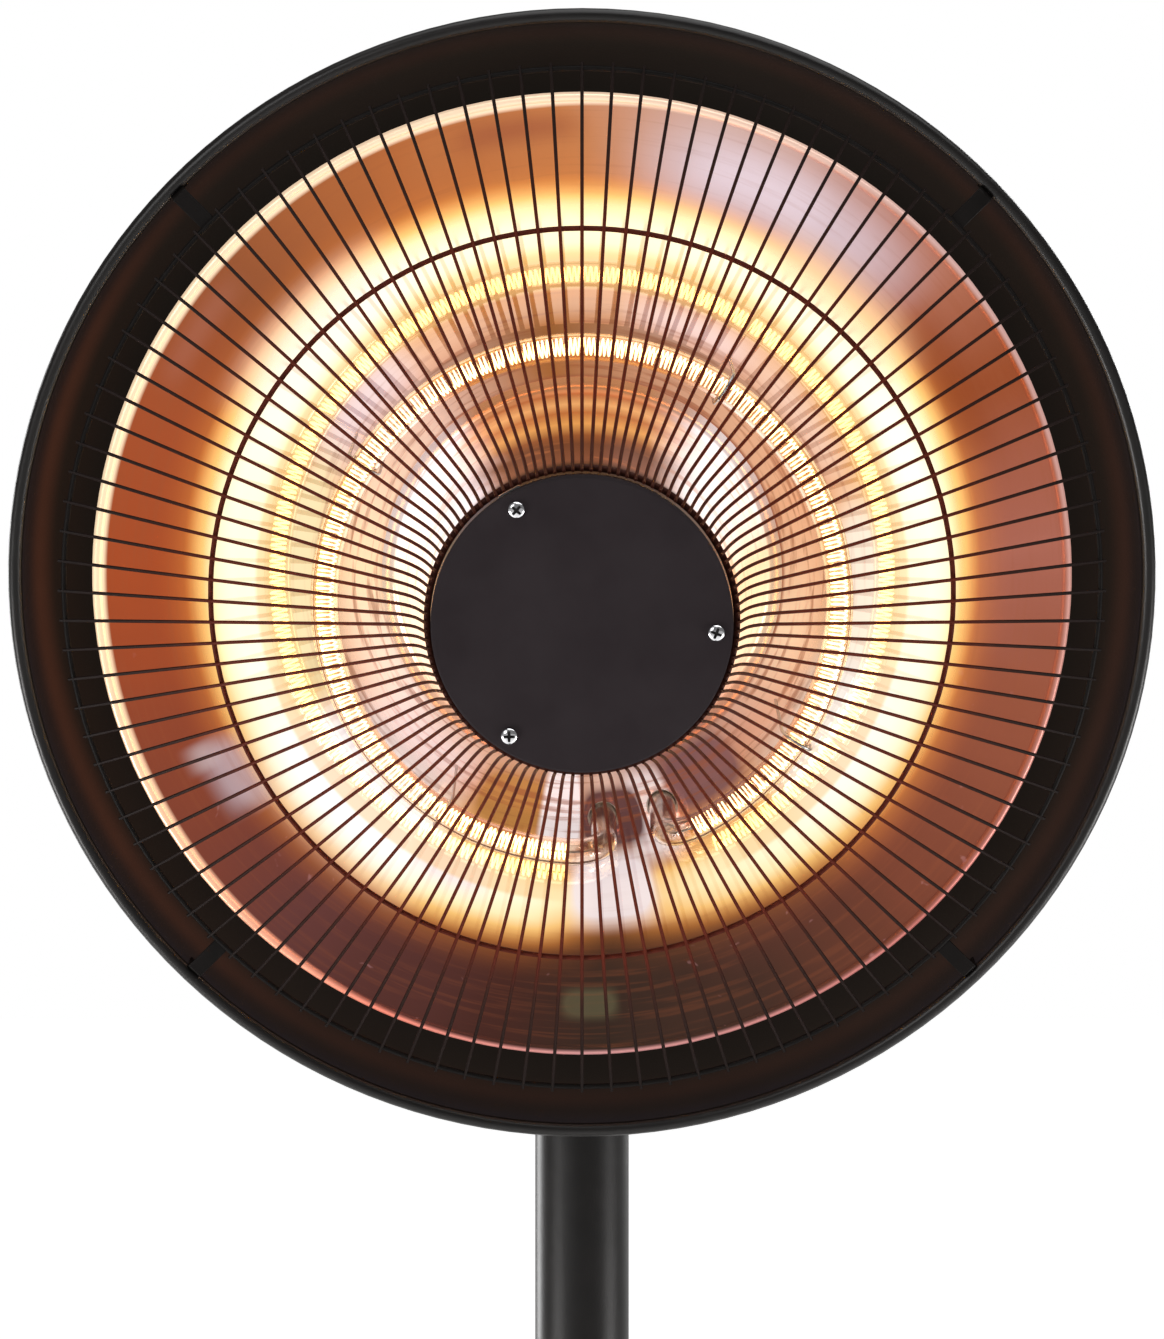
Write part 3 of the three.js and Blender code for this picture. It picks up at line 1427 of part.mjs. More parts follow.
makeLowerPole();

// ---------------------------------------------------------------- height clamp

const collarTop = lowerPoleTop + collarAbovePole;
const collarLow = collarTop - collarLength;
const clampHeight = lowerPoleTop + sleeveFlange + (collarAbovePole - sleeveFlange) / 2;

function makeCollar() {
  const body = joinUp([
    turned([
      [upperPoleRadius + runGap, lowerPoleTop + sleeveFlange + seatGap],
      [lowerPoleRadius + seatGap, lowerPoleTop + sleeveFlange + seatGap],
      [lowerPoleRadius + seatGap, collarLow],
      [collarRadius - 3, collarLow],
      [collarRadius, collarLow + 6],
      [collarRadius, collarTop - 4],
      [collarRadius - 4, collarTop],
      [upperPoleRadius + runGap, collarTop],
    ], midSides),
    alongX(rodBetween(collarBossRadius, collarRadius - 6, collarBossReach, midSides)).translate(0, 0, bossHeight),
  ]);
  const bore = alongX(rodBetween(heightStudRadius + runGap, 0, collarBossReach + pierceOver, smallSides));
  piece(tower, "height_collar", cutAway(body, [bore.translate(0, 0, clampHeight)]), mattBlack);
}

const bossHeight = clampHeight;
makeCollar();

// the knob has its clamping stud moulded in, and the stud bears on the upper pole
function makeHeightKnob() {
  const face = collarBossReach + runGap;
  const knob = joinUp([
    scallopedKnob(heightKnobRadius, heightKnobHeight, heightStudRadius * 0.8).translate(0, 0, face),
    rodBetween(heightKnobRadius * 0.55, face + heightKnobHeight - 3, face + heightKnobHeight, midSides),
    rodBetween(heightStudRadius, upperPoleRadius + runGap, face + heightKnobHeight - 1, smallSides),
  ]);
  piece(tower, "height_knob", alongX(knob).translate(0, 0, clampHeight), mattBlack);
}

makeHeightKnob();

export default tower;
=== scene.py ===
import math

import bpy
from mathutils import Matrix, Vector


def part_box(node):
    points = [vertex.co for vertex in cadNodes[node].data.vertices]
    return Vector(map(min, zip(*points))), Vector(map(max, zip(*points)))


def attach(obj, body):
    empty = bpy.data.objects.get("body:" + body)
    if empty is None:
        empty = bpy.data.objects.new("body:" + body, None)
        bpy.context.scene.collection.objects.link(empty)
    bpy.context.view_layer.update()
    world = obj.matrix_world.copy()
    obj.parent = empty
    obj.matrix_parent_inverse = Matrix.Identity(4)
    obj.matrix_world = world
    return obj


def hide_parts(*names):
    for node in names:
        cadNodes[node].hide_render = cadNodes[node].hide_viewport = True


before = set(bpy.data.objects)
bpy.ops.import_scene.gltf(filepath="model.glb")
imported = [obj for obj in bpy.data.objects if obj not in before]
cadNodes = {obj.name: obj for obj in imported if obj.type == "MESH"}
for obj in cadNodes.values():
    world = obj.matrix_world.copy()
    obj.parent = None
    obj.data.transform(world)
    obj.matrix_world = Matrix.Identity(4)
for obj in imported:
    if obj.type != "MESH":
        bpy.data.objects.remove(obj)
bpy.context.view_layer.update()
print("frame loaded:", len(cadNodes), "nodes")

# the head looks down by this much, and its own frame starts in the middle of the rim
tower = {"pivotHeight": 1.915, "tilt": 12, "pivotToRim": 0.1687}
headTurn = math.radians(90 + tower["tilt"])
rimCentre = Vector((
    0,
    -tower["pivotToRim"] * math.cos(math.radians(tower["tilt"])),
    tower["pivotHeight"] - tower["pivotToRim"] * math.sin(math.radians(tower["tilt"])),
))
headPlace = Matrix.Translation(rimCentre) @ Matrix.Rotation(headTurn, 4, "X")
pivotPlace = Matrix.Translation((0, 0, tower["pivotHeight"]))
mm = 0.001


# modelling helpers, all sizes in millimetres and all turns in degrees

def turnBy(axis, degrees):
    return Matrix.Rotation(math.radians(degrees), 4, axis)


def moveBy(x, y, z):
    return Matrix.Translation(Vector((x, y, z)) * mm)


alongX = turnBy("Y", 90)
standing = Matrix.Identity(4)


def clearSelection():
    if bpy.context.mode != "OBJECT":
        bpy.ops.object.mode_set(mode="OBJECT")
    bpy.ops.object.select_all(action="DESELECT")


def pick(obj):
    clearSelection()
    obj.select_set(True)
    bpy.context.view_layer.objects.active = obj
    return obj


def arc(centre, radius, start, end, steps):
    points = []
    for i in range(steps + 1):
        turn = math.radians(start + (end - start) * i / steps)
        points.append((centre[0] + radius * math.cos(turn), centre[1] + radius * math.sin(turn)))
    return points


def hexagon(radius):
    return arc((0, 0), radius, 0, 300, 5)


def drawLine(name, points, closed=False):
    # a plane shrunk to one corner, drawn out point by point
    clearSelection()
    bpy.ops.mesh.primitive_plane_add(size=0.01)
    obj = bpy.context.active_object
    obj.name = name
    obj.data.name = name
    bpy.ops.object.mode_set(mode="EDIT")
    bpy.ops.mesh.select_all(action="SELECT")
    bpy.ops.mesh.merge(type="CENTER")
    here = Vector(points[0]) * mm
    bpy.ops.transform.translate(value=here)
    for point in list(points[1:]) + ([points[0]] if closed else []):
        there = Vector(point) * mm
        bpy.ops.mesh.extrude_vertices_move(TRANSFORM_OT_translate={"value": there - here})
        here = there
    bpy.ops.mesh.select_all(action="SELECT")
    bpy.ops.mesh.remove_doubles(threshold=1e-6)
    bpy.ops.mesh.select_all(action="SELECT")
    return obj


def closeUp(smoothAngle=35):
    bpy.ops.mesh.select_all(action="SELECT")
    bpy.ops.mesh.remove_doubles(threshold=2e-6)
    bpy.ops.mesh.select_all(action="SELECT")
    bpy.ops.mesh.normals_make_consistent(inside=False)
    bpy.ops.object.mode_set(mode="OBJECT")
    bpy.ops.object.shade_smooth_by_angle(angle=math.radians(smoothAngle))


def turnedShape(name, profile, steps=96, closed=True):
    obj = drawLine(name, [(radius, 0, height) for radius, height in profile], closed)
    bpy.ops.mesh.spin(steps=steps, angle=math.tau, center=(0, 0, 0), axis=(0, 0, 1))
    closeUp()
    return obj


def slabShape(name, outline, thickness):
    # a flat outline filled and pulled up from z = 0
    obj = drawLine(name, [(x, y, 0) for x, y in outline], True)
    bpy.ops.mesh.edge_face_add()
    bpy.ops.mesh.extrude_region_move(TRANSFORM_OT_translate={"value": (0, 0, thickness * mm)})
    closeUp()
    return obj


def wireShape(name, points, radius, roundness=2, closed=False):
    # a line of points given the thickness of a wire
    obj = drawLine(name, points, closed)
    bpy.ops.object.mode_set(mode="OBJECT")
    bpy.ops.object.convert(target="CURVE")
    obj = bpy.context.active_object
    obj.data.bevel_depth = radius * mm
    obj.data.bevel_resolution = roundness
    obj.data.use_fill_caps = not closed
    bpy.ops.object.convert(target="MESH")
    obj = bpy.context.active_object
    obj.name = name
    bpy.ops.object.mode_set(mode="EDIT")
    closeUp(50)
    return obj


def rodShape(name, radius, low, high, sides=32):
    return turnedShape(name, [(0, low), (radius, low), (radius, high), (0, high)], sides, False)


def moveMesh(obj, matrix):
    pick(obj)
    obj.matrix_world = matrix @ obj.matrix_world
    bpy.ops.object.transform_apply(location=True, rotation=True, scale=True)
    return obj


def shift(obj, x, y, z):
    return moveMesh(obj, moveBy(x, y, z))


def spunRound(obj, angle):
    return moveMesh(obj, turnBy("Z", angle))


def copyOf(obj, name):
    pick(obj)
    bpy.ops.object.duplicate(linked=False)
    made = bpy.context.active_object
    made.name = name
    made.data.name = name
    return made


def applyModifier(obj, kind, **settings):
    pick(obj)
    bpy.ops.object.modifier_add(type=kind)
    modifier = obj.modifiers[-1]
    for key, value in settings.items():
        setattr(modifier, key, value)
    bpy.ops.object.modifier_apply(modifier=modifier.name)
    return obj


def repeatRound(obj, count):
    # count copies at even steps round the Z axis, in one mesh
    clearSelection()
    bpy.ops.object.empty_add()
    marker = bpy.context.active_object
    marker.rotation_euler = (0, 0, math.tau / count)
    bpy.context.view_layer.update()
    applyModifier(obj, "ARRAY", count=count, use_relative_offset=False,
                  use_object_offset=True, offset_object=marker)
    bpy.data.objects.remove(marker)
    return obj


def cutWith(obj, *tools, operation="DIFFERENCE", looks="INDEX"):
    for tool in tools:
        applyModifier(obj, "BOOLEAN", operation=operation, solver="EXACT", object=tool, material_mode=looks)
        bpy.data.objects.remove(tool)
    return obj


def softEdges(obj, width, segments=2, angle=40):
    applyModifier(obj, "BEVEL", width=width * mm, segments=segments, limit_method="ANGLE",
                  angle_limit=math.radians(angle), harden_normals=False)
    pick(obj)
    bpy.ops.object.shade_smooth_by_angle(angle=math.radians(35))
    return obj


def joinPieces(obj, *others):
    pick(obj)
    for other in others:
        other.select_set(True)
    bpy.ops.object.join()
    return obj


def finishPiece(obj, place, body, slotName, look, *nodes):
    moveMesh(obj, place)
    if look:
        obj.data.materials.clear()
        obj.data.materials.append(look)
    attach(obj, body)
    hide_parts(*nodes)
    return obj


# material helpers

def tone(red, green, blue):
    def linear(value):
        value /= 255
        return value / 12.92 if value <= 0.04045 else ((value + 0.055) / 1.055) ** 2.4
    return (linear(red), linear(green), linear(blue), 1)


def addNode(tree, kind, inputs=None, **settings):
    made = tree.nodes.new(kind)
    for key, value in settings.items():
        setattr(made, key, value)
    for key, value in (inputs or {}).items():
        if isinstance(value, bpy.types.NodeSocket):
            tree.links.new(value, made.inputs[key])
        else:
            made.inputs[key].default_value = value
    return made


def rampColour(colour):
    # one number is a grey, three are a tone as seen on a screen and four are kept as they are
    if len(colour) == 1:
        return grey(colour[0])
    return tone(*colour) if len(colour) == 3 else tuple(colour)


def addRamp(tree, source, stops, smooth="LINEAR"):
    made = addNode(tree, "ShaderNodeValToRGB", {0: source})
    ramp = made.color_ramp
    ramp.interpolation = smooth
    ramp.elements.remove(ramp.elements[-1])
    ramp.elements[0].position = stops[0][0]
    ramp.elements[0].color = rampColour(stops[0][1:])
    for place, *colour in stops[1:]:
        ramp.elements.new(place).color = rampColour(colour)
    return made.outputs["Color"]


def roundRamp(tree, source, stops):
    # the stops stand at angles round the head: 180 is its left, 90 its top, 0 its right and -90 its foot
    return addRamp(tree, source, [((angle + 180) / 360, *colour) for angle, *colour in stops])


def grey(value):
    return (value, value, value, 1)


def mathNode(tree, operation, first, second=0.0, clamp=False):
    return addNode(tree, "ShaderNodeMath", {0: first, 1: second}, operation=operation, use_clamp=clamp).outputs[0]


def multiply(tree, first, second, clamp=False):
    return mathNode(tree, "MULTIPLY", first, second, clamp)


def distanceFrom(tree, value, middle):
    return mathNode(tree, "ABSOLUTE", mathNode(tree, "SUBTRACT", value, middle))


def vectorNode(tree, operation, *inputs):
    made = addNode(tree, "ShaderNodeVectorMath", dict(enumerate(inputs)), operation=operation)
    return made.outputs["Value" if operation in ("LENGTH", "DOT_PRODUCT") else "Vector"]


def smoothRange(tree, value, low, high, bottom=0.0, top=1.0):
    return addNode(tree, "ShaderNodeMapRange", {0: value, 1: low, 2: high, 3: bottom, 4: top},
                   interpolation_type="SMOOTHSTEP").outputs[0]


def mixColours(tree, share, first, second):
    return addNode(tree, "ShaderNodeMix", {0: share, 6: first, 7: second}, data_type="RGBA").outputs[2]


def objectPlace(tree):
    return addNode(tree, "ShaderNodeTexCoord").outputs["Object"]


def noiseAt(tree, place, scale, detail=3, distortion=0.0):
    made = addNode(tree, "ShaderNodeTexNoise", {"Vector": place, "Scale": scale, "Detail": detail,
                                                "Distortion": distortion})
    return made.outputs["Fac"]


def newLook(name, roughness=0.5, metallic=0.0, specular=0.5):
    look = bpy.data.materials.new(name)
    look.use_nodes = True
    shader = look.node_tree.nodes["Principled BSDF"]
    shader.inputs["Roughness"].default_value = roughness
    shader.inputs["Metallic"].default_value = metallic
    shader.inputs["Specular IOR Level"].default_value = specular
    return look, look.node_tree, shader


def grainyLook(name, dark, light, roughness, scale, metallic=0.0, specular=0.5, bump=0.1, bumpScale=None):
    # two close tones, an uneven gloss and a fine grain
    look, tree, shader = newLook(name, roughness, metallic, specular)
    place = objectPlace(tree)
    cloud = noiseAt(tree, place, scale, 4)
    tree.links.new(addRamp(tree, cloud, [(0.3, *dark), (0.7, *light)]), shader.inputs["Base Color"])
    gloss = addNode(tree, "ShaderNodeMapRange", {0: noiseAt(tree, place, scale * 2.7, 2), 3: roughness * 0.85,
                                                 4: min(roughness * 1.15, 1)})
    tree.links.new(gloss.outputs[0], shader.inputs["Roughness"])
    grain = noiseAt(tree, place, bumpScale or scale * 12, 2)
    bumps = addNode(tree, "ShaderNodeBump", {"Height": grain, "Strength": bump, "Distance": 0.0004})
    tree.links.new(bumps.outputs[0], shader.inputs["Normal"])
    return look


def headPlaces(tree):
    # distance from the head's axis, share of a turn round it (0.5 is to the right) and depth
    turned = addNode(tree, "ShaderNodeMapping", {"Vector": objectPlace(tree), "Location": rimCentre,
                                                 "Rotation": (headTurn, 0, 0)}, vector_type="TEXTURE").outputs[0]
    radius = vectorNode(tree, "LENGTH", vectorNode(tree, "MULTIPLY", turned, (1, 1, 0)))
    split = addNode(tree, "ShaderNodeSeparateXYZ", {0: turned})
    angle = mathNode(tree, "ARCTAN2", split.outputs["Y"], split.outputs["X"])
    share = mathNode(tree, "ADD", mathNode(tree, "DIVIDE", angle, math.tau), 0.5)
    return turned, radius, share, split.outputs["Z"]


blackPaint = grainyLook("satinBlackPaint", tone(13, 11, 10), tone(19, 16, 15), 0.33, 60,
                        specular=0.34, bump=0.1, bumpScale=1400)
basePaint = grainyLook("basePowderCoat", tone(15, 13, 12), tone(22, 19, 18), 0.52, 70,
                       specular=0.22, bump=0.16, bumpScale=1500)
guardBlack = grainyLook("guardBlack", tone(14, 12, 11), tone(20, 17, 16), 0.5, 90, specular=0.07, bump=0.06)
blackPlastic = grainyLook("mattBlackPlastic", tone(16, 16, 16), tone(25, 24, 24), 0.5, 90, specular=0.4, bump=0.25,
                          bumpScale=1800)
discEnamel = grainyLook("warmGreyEnamel", tone(39, 34, 36), tone(44, 39, 41), 0.85, 45, specular=0.03,
                        bump=0.05, bumpScale=1600)
chromePlate = grainyLook("brightChrome", tone(214, 214, 218), tone(236, 236, 238), 0.1, 300, metallic=1, bump=0.02)
zincPlate = grainyLook("zincPlate", tone(160, 160, 162), tone(192, 192, 190), 0.33, 160, metallic=1, bump=0.1)
whiteCeramic = grainyLook("whiteCeramic", tone(214, 208, 196), tone(232, 228, 218), 0.7, 130, bump=0.25)
sleeveSilicone = grainyLook("heatproofSleeve", tone(198, 190, 176), tone(220, 214, 202), 0.62, 260, bump=0.3)
# dark metal in the screws' cross recesses: painted shade
crossRecessShade = grainyLook("crossRecessShade", tone(34, 33, 34), tone(60, 58, 58), 0.3, 400, metallic=1)
castConcrete = grainyLook("castConcrete", tone(112, 108, 102), tone(152, 147, 140), 0.93, 38, bump=0.9,
                          bumpScale=420)
footRubber = grainyLook("footRubber", tone(16, 16, 16), tone(26, 26, 26), 0.86, 140, bump=0.4)


def makeInnerBlack():
    # soot black inside the shade: darker by the reflector's edge as painted shade, paler at the bead as a painted
    # sheen, with a faint warm ring just behind the rim that is the lamp's glow painted on, and the whole inside made to
    # glow as painted light
    look, tree, shader = newLook("shadeInside", 0.5, 0, 0.12)
    turned, radius, share = headPlaces(tree)[:3]
    across = mathNode(tree, "DIVIDE", radius, 0.21)
    # painted shade deep by the reflector's edge, painted sheen towards the bead
    plain = addRamp(tree, across, [
        (0.85, 26, 23, 20), (0.93, 30, 26, 23), (0.972, 30, 25, 23), (0.985, 32, 28, 30), (1.0, 34, 33, 38)], "EASE")
    # the lamp's glow painted on the wall as a warm ring, strongest on the left
    glowRingTone = addRamp(tree, across, [
        (0.85, 24, 21, 18), (0.93, 32, 24, 19), (0.957, 66, 38, 27), (0.974, 38, 27, 24), (0.985, 32, 28, 30),
        (1.0, 34, 33, 38)], "EASE")
    glowRingShare = roundRamp(tree, share, [
        (-179, 0.95), (-152, 0.8), (-122, 0.35), (-90, 0.22), (-42, 0.25), (0, 0.4), (48, 0.25), (90, 0.12),
        (135, 0.3), (158, 0.85), (180, 0.95)])
    shaded = mixColours(tree, glowRingShare, plain, glowRingTone)
    cloud = noiseAt(tree, turned, 55, 3)
    painted = mixColours(tree, multiply(tree, cloud, 0.2), shaded, tone(12, 9, 9))
    tree.links.new(mixColours(tree, 0.6, painted, grey(0)), shader.inputs["Base Color"])
    # the painted colours glow as well: painted light over the whole inside
    tree.links.new(painted, shader.inputs["Emission Color"])
    shader.inputs["Emission Strength"].default_value = 0.85
    bumps = addNode(tree, "ShaderNodeBump", {"Height": noiseAt(tree, turned, 1400, 2), "Strength": 0.15,
                                             "Distance": 0.0004})
    tree.links.new(bumps.outputs[0], shader.inputs["Normal"])
    return look


def makeWireLook():
    # black enamel, painted warm brown towards the middle where the lamp's glow lights it: painted light
    look, tree, shader = newLook("blackWireEnamel", 0.45, 0, 0.06)
    turned, radius = headPlaces(tree)[:2]
    cloud = noiseAt(tree, turned, 200, 3)
    # painted light: warm brown where the lamp's glow falls on the wires
    glowLitBrown = addRamp(tree, multiply(tree, radius, 5), [
        (0.27, 64, 32, 24), (0.4, 96, 36, 22), (0.68, 88, 34, 22), (0.76, 52, 30, 24), (0.88, 32, 25, 23),
        (0.96, 26, 23, 22)])
    tree.links.new(mixColours(tree, multiply(tree, cloud, 0.5), glowLitBrown, tone(30, 16, 13)),
                   shader.inputs["Base Color"])
    bumps = addNode(tree, "ShaderNodeBump", {"Height": cloud, "Strength": 0.05, "Distance": 0.0004})
    tree.links.new(bumps.outputs[0], shader.inputs["Normal"])
    return look


def directionOf(tree, turned):
    return vectorNode(tree, "NORMALIZE", vectorNode(tree, "MULTIPLY", turned, (1, 1, 0)))


def reachFrom(tree, turned, x, y):
    # distance from an axis that stands beside the head's own
    moved = vectorNode(tree, "ADD", turned, (x, y, 0))
    return vectorNode(tree, "LENGTH", vectorNode(tree, "MULTIPLY", moved, (1, 1, 0)))


def swungShare(tree, share, wander, amount):
    # the share of a turn, pushed about by noise
    return mathNode(tree, "ADD", share, multiply(tree, mathNode(tree, "SUBTRACT", wander, 0.5), amount))


def streaksRound(tree, direction, stretch, across, scale, detail, distortion):
    # noise that is drawn out round the head
    lines = vectorNode(tree, "MULTIPLY", direction, (stretch, stretch, stretch))
    spread = addNode(tree, "ShaderNodeCombineXYZ", {2: across}).outputs[0]
    return noiseAt(tree, vectorNode(tree, "ADD", lines, spread), scale, detail, distortion)


def addGleams(tree, paint, radius, direction, gleams):
    # patches of painted highlight and painted dark reflection: angle, half width, distance from the axis and half depth
    # in mm, firmness, strength, tone
    for angle, width, reach, spread, firm, strength, colour in gleams:
        turn = math.radians(angle)
        along = vectorNode(tree, "DOT_PRODUCT", direction, (math.cos(turn), math.sin(turn), 0))
        side = smoothRange(tree, along, math.cos(math.radians(width)), 1.0)
        away = distanceFrom(tree, radius, reach * mm)
        patch = multiply(tree, side, smoothRange(tree, away, spread * mm, 0.0))
        mask = multiply(tree, patch, firm, True)
        paint = mixColours(tree, multiply(tree, mask, strength), paint, tone(*colour))
    return paint


def makeReflectorLook():
    # polished copper-tinted sheet in the lamp's light, its colours painted light: painted reflections give copper tones
    # outside, and the lamp's glow is painted as a cream band and gold inside
    look, tree, shader = newLook("copperReflector", 0.16, 1)
    turned, radius, share, depth = headPlaces(tree)
    direction = directionOf(tree, turned)
    wander = noiseAt(tree, turned, 13, 2, 0.4)
    swung = swungShare(tree, share, wander, 0.06)
    # painted reflections of the surroundings, round the head, over the sheet's copper tint
    outer = roundRamp(tree, swung, [
        (-179, 164, 76, 42), (-155, 136, 68, 48), (-128, 102, 60, 56), (-105, 72, 42, 36), (-88, 56, 42, 35),
        (-68, 68, 46, 38), (-42, 116, 64, 48), (-15, 142, 79, 58), (4, 162, 98, 82), (26, 144, 73, 42),
        (46, 168, 106, 84), (72, 196, 160, 148), (92, 186, 118, 72), (112, 172, 100, 56), (136, 144, 82, 50),
        (160, 160, 78, 45), (180, 164, 76, 42)])
    inner = roundRamp(tree, swung, [
        (-180, 246, 214, 176), (-148, 244, 222, 212), (-120, 220, 176, 150), (-98, 168, 112, 76),
        (-84, 210, 176, 160), (-70, 150, 100, 86), (-45, 206, 160, 138), (-15, 234, 200, 168), (20, 212, 160, 124),
        (62, 198, 152, 124), (96, 160, 102, 56), (135, 222, 184, 166), (180, 246, 214, 176)])
    paint = mixColours(tree, smoothRange(tree, radius, 0.112, 0.099), outer, inner)
    # the lamp's glow painted on the sheet as a band round the lamp
    glowReach = reachFrom(tree, turned, 0, -0.004)
    glow = addRamp(tree, multiply(tree, glowReach, 5), [
        (0.40, 0.0), (0.47, 0.2), (0.525, 0.32), (0.56, 0.44), (0.585, 0.6), (0.605, 0.92), (0.62, 1), (0.645, 1),
        (0.675, 0.78), (0.70, 0.46), (0.735, 0.18), (0.80, 0)])
    around = roundRamp(tree, swung, [
        (-180, 0.92), (-155, 1), (-120, 1), (-102, 0.78), (-88, 0.3), (-76, 0.5), (-60, 0.8), (-25, 1), (15, 1),
        (50, 0.84), (92, 0.7), (120, 0.86), (180, 0.92)])
    glowLevel = multiply(tree, glow, around)
    glowTones = addRamp(tree, glowLevel, [
        (0.0, 186, 92, 40), (0.2, 222, 138, 66), (0.42, 246, 194, 116), (0.64, 255, 232, 178), (0.84, 255, 242, 206),
        (1.0, 254, 248, 222)])
    paint = mixColours(tree, smoothRange(tree, glowLevel, 0.0, 0.42), paint, glowTones)
    paint = addGleams(tree, paint, radius, direction, [
        (62, 24, 158, 24, 1, 0.9, (204, 184, 192)),
        (66, 12, 160, 16, 1, 0.5, (224, 206, 214)),
        (47, 17, 141, 17, 1.2, 0.55, (240, 200, 160)),
        (142, 18, 104, 16, 1, 0.75, (224, 204, 214)),
        (136, 20, 135, 20, 1.2, 0.6, (246, 226, 212)),
        (146, 10, 168, 8, 1, 0.3, (170, 112, 96)),
        (66, 18, 101, 10, 1, 0.6, (228, 200, 204)),
        (36, 20, 100, 12, 1, 0.5, (236, 204, 190)),
        (180, 34, 104, 11, 1.5, 0.75, (244, 226, 172)),
        (352, 30, 104, 14, 1.5, 0.8, (246, 232, 214)),
        (209, 7, 149, 13, 1.2, 0.62, (196, 180, 188)),
        (205, 2.5, 156, 9, 1, 0.4, (214, 198, 198)),
        (214, 2.5, 144, 9, 1, 0.35, (206, 184, 184)),
        (224, 22, 114, 34, 1.4, 0.9, (255, 249, 250)),
        (228, 18, 86, 14, 1, 0.7, (236, 220, 224)),
        (176, 24, 126, 10, 1, 0.5, (255, 240, 190)),
        (350, 30, 122, 16, 1.2, 0.7, (250, 236, 196)),
        (328, 20, 112, 28, 1.3, 0.7, (255, 249, 242)),
        (253, 10, 90, 15, 2.5, 0.85, (178, 122, 60)),
        (265, 5.5, 90, 24, 3, 0.92, (240, 228, 228)),
        (275.5, 9, 119, 18, 2.5, 0.92, (240, 226, 228)),
        (246, 9, 120, 12, 1.5, 0.7, (232, 216, 220)),
        (286, 6.5, 94, 22, 3, 0.88, (234, 216, 214)),
        (277, 8, 93, 14, 4, 1.0, (98, 64, 62)),
        (301, 11, 87, 16, 2.5, 0.88, (122, 84, 86)),
        (271, 4.5, 161, 8, 2, 0.5, (104, 98, 72)),
        (98, 10, 168, 9, 1, 0.6, (146, 78, 54)),
        (29, 13, 154, 13, 1, 0.65, (138, 68, 36)),
        (300, 16, 150, 18, 1, 0.4, (96, 56, 46)),
    ])
    # a painted reflection of the coil, a warm band left open between the lamp's two legs
    ringZone = distanceFrom(tree, reachFrom(tree, turned, 0, 0.0025), 0.1155)
    gap = smoothRange(tree, vectorNode(tree, "DOT_PRODUCT", direction, (0.19, -0.98, 0)), 0.93, 0.985, 0.62, 0.0)
    mirrored = multiply(tree, smoothRange(tree, ringZone, 0.0062, 0.0044), gap)
    paint = mixColours(tree, mirrored, paint, tone(236, 190, 124))
    streaks = streaksRound(tree, direction, 1.3, multiply(tree, radius, 240), 2.2, 4, 0.3)
    near = smoothRange(tree, radius, 0.112, 0.09)
    awayFromGlow = smoothRange(tree, glowLevel, 0.5, 0.1, 0.0, 0.16)
    streak = multiply(tree, smoothRange(tree, streaks, 0.5, 0.68),
                      mathNode(tree, "ADD", multiply(tree, near, 0.5), awayFromGlow))
    paint = mixColours(tree, streak, paint, tone(150, 84, 54))
    # painted shade along the crease at the dish's foot, and fine specks low down
    foot = smoothRange(tree, distanceFrom(tree, radius, 0.0742), 0.0019, 0.0004)
    creaseShade = roundRamp(tree, share, [
        (-180, 0.25), (-125, 0.2), (-100, 0), (-68, 0), (-38, 0.75), (0, 0.85), (50, 0.85), (95, 0.55), (135, 0.3),
        (180, 0.25)])
    paint = mixColours(tree, multiply(tree, foot, creaseShade), paint, tone(146, 86, 62))
    specks = smoothRange(tree, noiseAt(tree, turned, 130, 2, 0.8), 0.7, 0.78)
    low = smoothRange(tree, addNode(tree, "ShaderNodeSeparateXYZ", {0: direction}).outputs["Y"], 0.2, -0.8)
    speckled = multiply(tree, multiply(tree, specks, low), smoothRange(tree, radius, 0.135, 0.15, 0.0, 0.3))
    paint = mixColours(tree, speckled, paint, tone(196, 140, 140))
    # the rolled lip catches the light widely on the left and as a fine line below
    left = vectorNode(tree, "DOT_PRODUCT", direction, (-0.88, 0.47, 0))
    startsAt = smoothRange(tree, left, -0.3, 0.7, 0.1775, 0.1745)
    lipShare = multiply(tree, mathNode(tree, "SUBTRACT", radius, startsAt), 700, True)
    lipTone = roundRamp(tree, share, [
        (-180, 255, 226, 186), (-145, 255, 196, 160), (-115, 226, 130, 110), (-90, 196, 140, 138),
        (-45, 186, 112, 104), (0, 206, 152, 140), (45, 222, 180, 172), (90, 246, 214, 184), (180, 255, 226, 186)])
    paint = mixColours(tree, lipShare, paint, lipTone)
    # painted shade on the underside of the rolled lip
    underLipShade = smoothRange(tree, depth, -0.0072, -0.0086)
    beyond = smoothRange(tree, radius, 0.1782, 0.1792)
    paint = mixColours(tree, multiply(tree, underLipShade, beyond), paint, tone(60, 34, 28))
    pale = mixColours(tree, smoothRange(tree, ringZone, 0.02, 0.01, 0.0, 0.6), paint, tone(255, 242, 226))
    tree.links.new(mixColours(tree, 0.4, pale, grey(0)), shader.inputs["Base Color"])
    # the painted colours glow too: painted light, strongest in the lamp's band
    tree.links.new(paint, shader.inputs["Emission Color"])
    tree.links.new(mathNode(tree, "ADD", multiply(tree, glowLevel, 0.26), 0.82),
                   shader.inputs["Emission Strength"])
    rough = smoothRange(tree, ringZone, 0.018, 0.03, 0.012, 0.34)
    tree.links.new(mathNode(tree, "ADD", rough, multiply(tree, wander, 0.01)), shader.inputs["Roughness"])
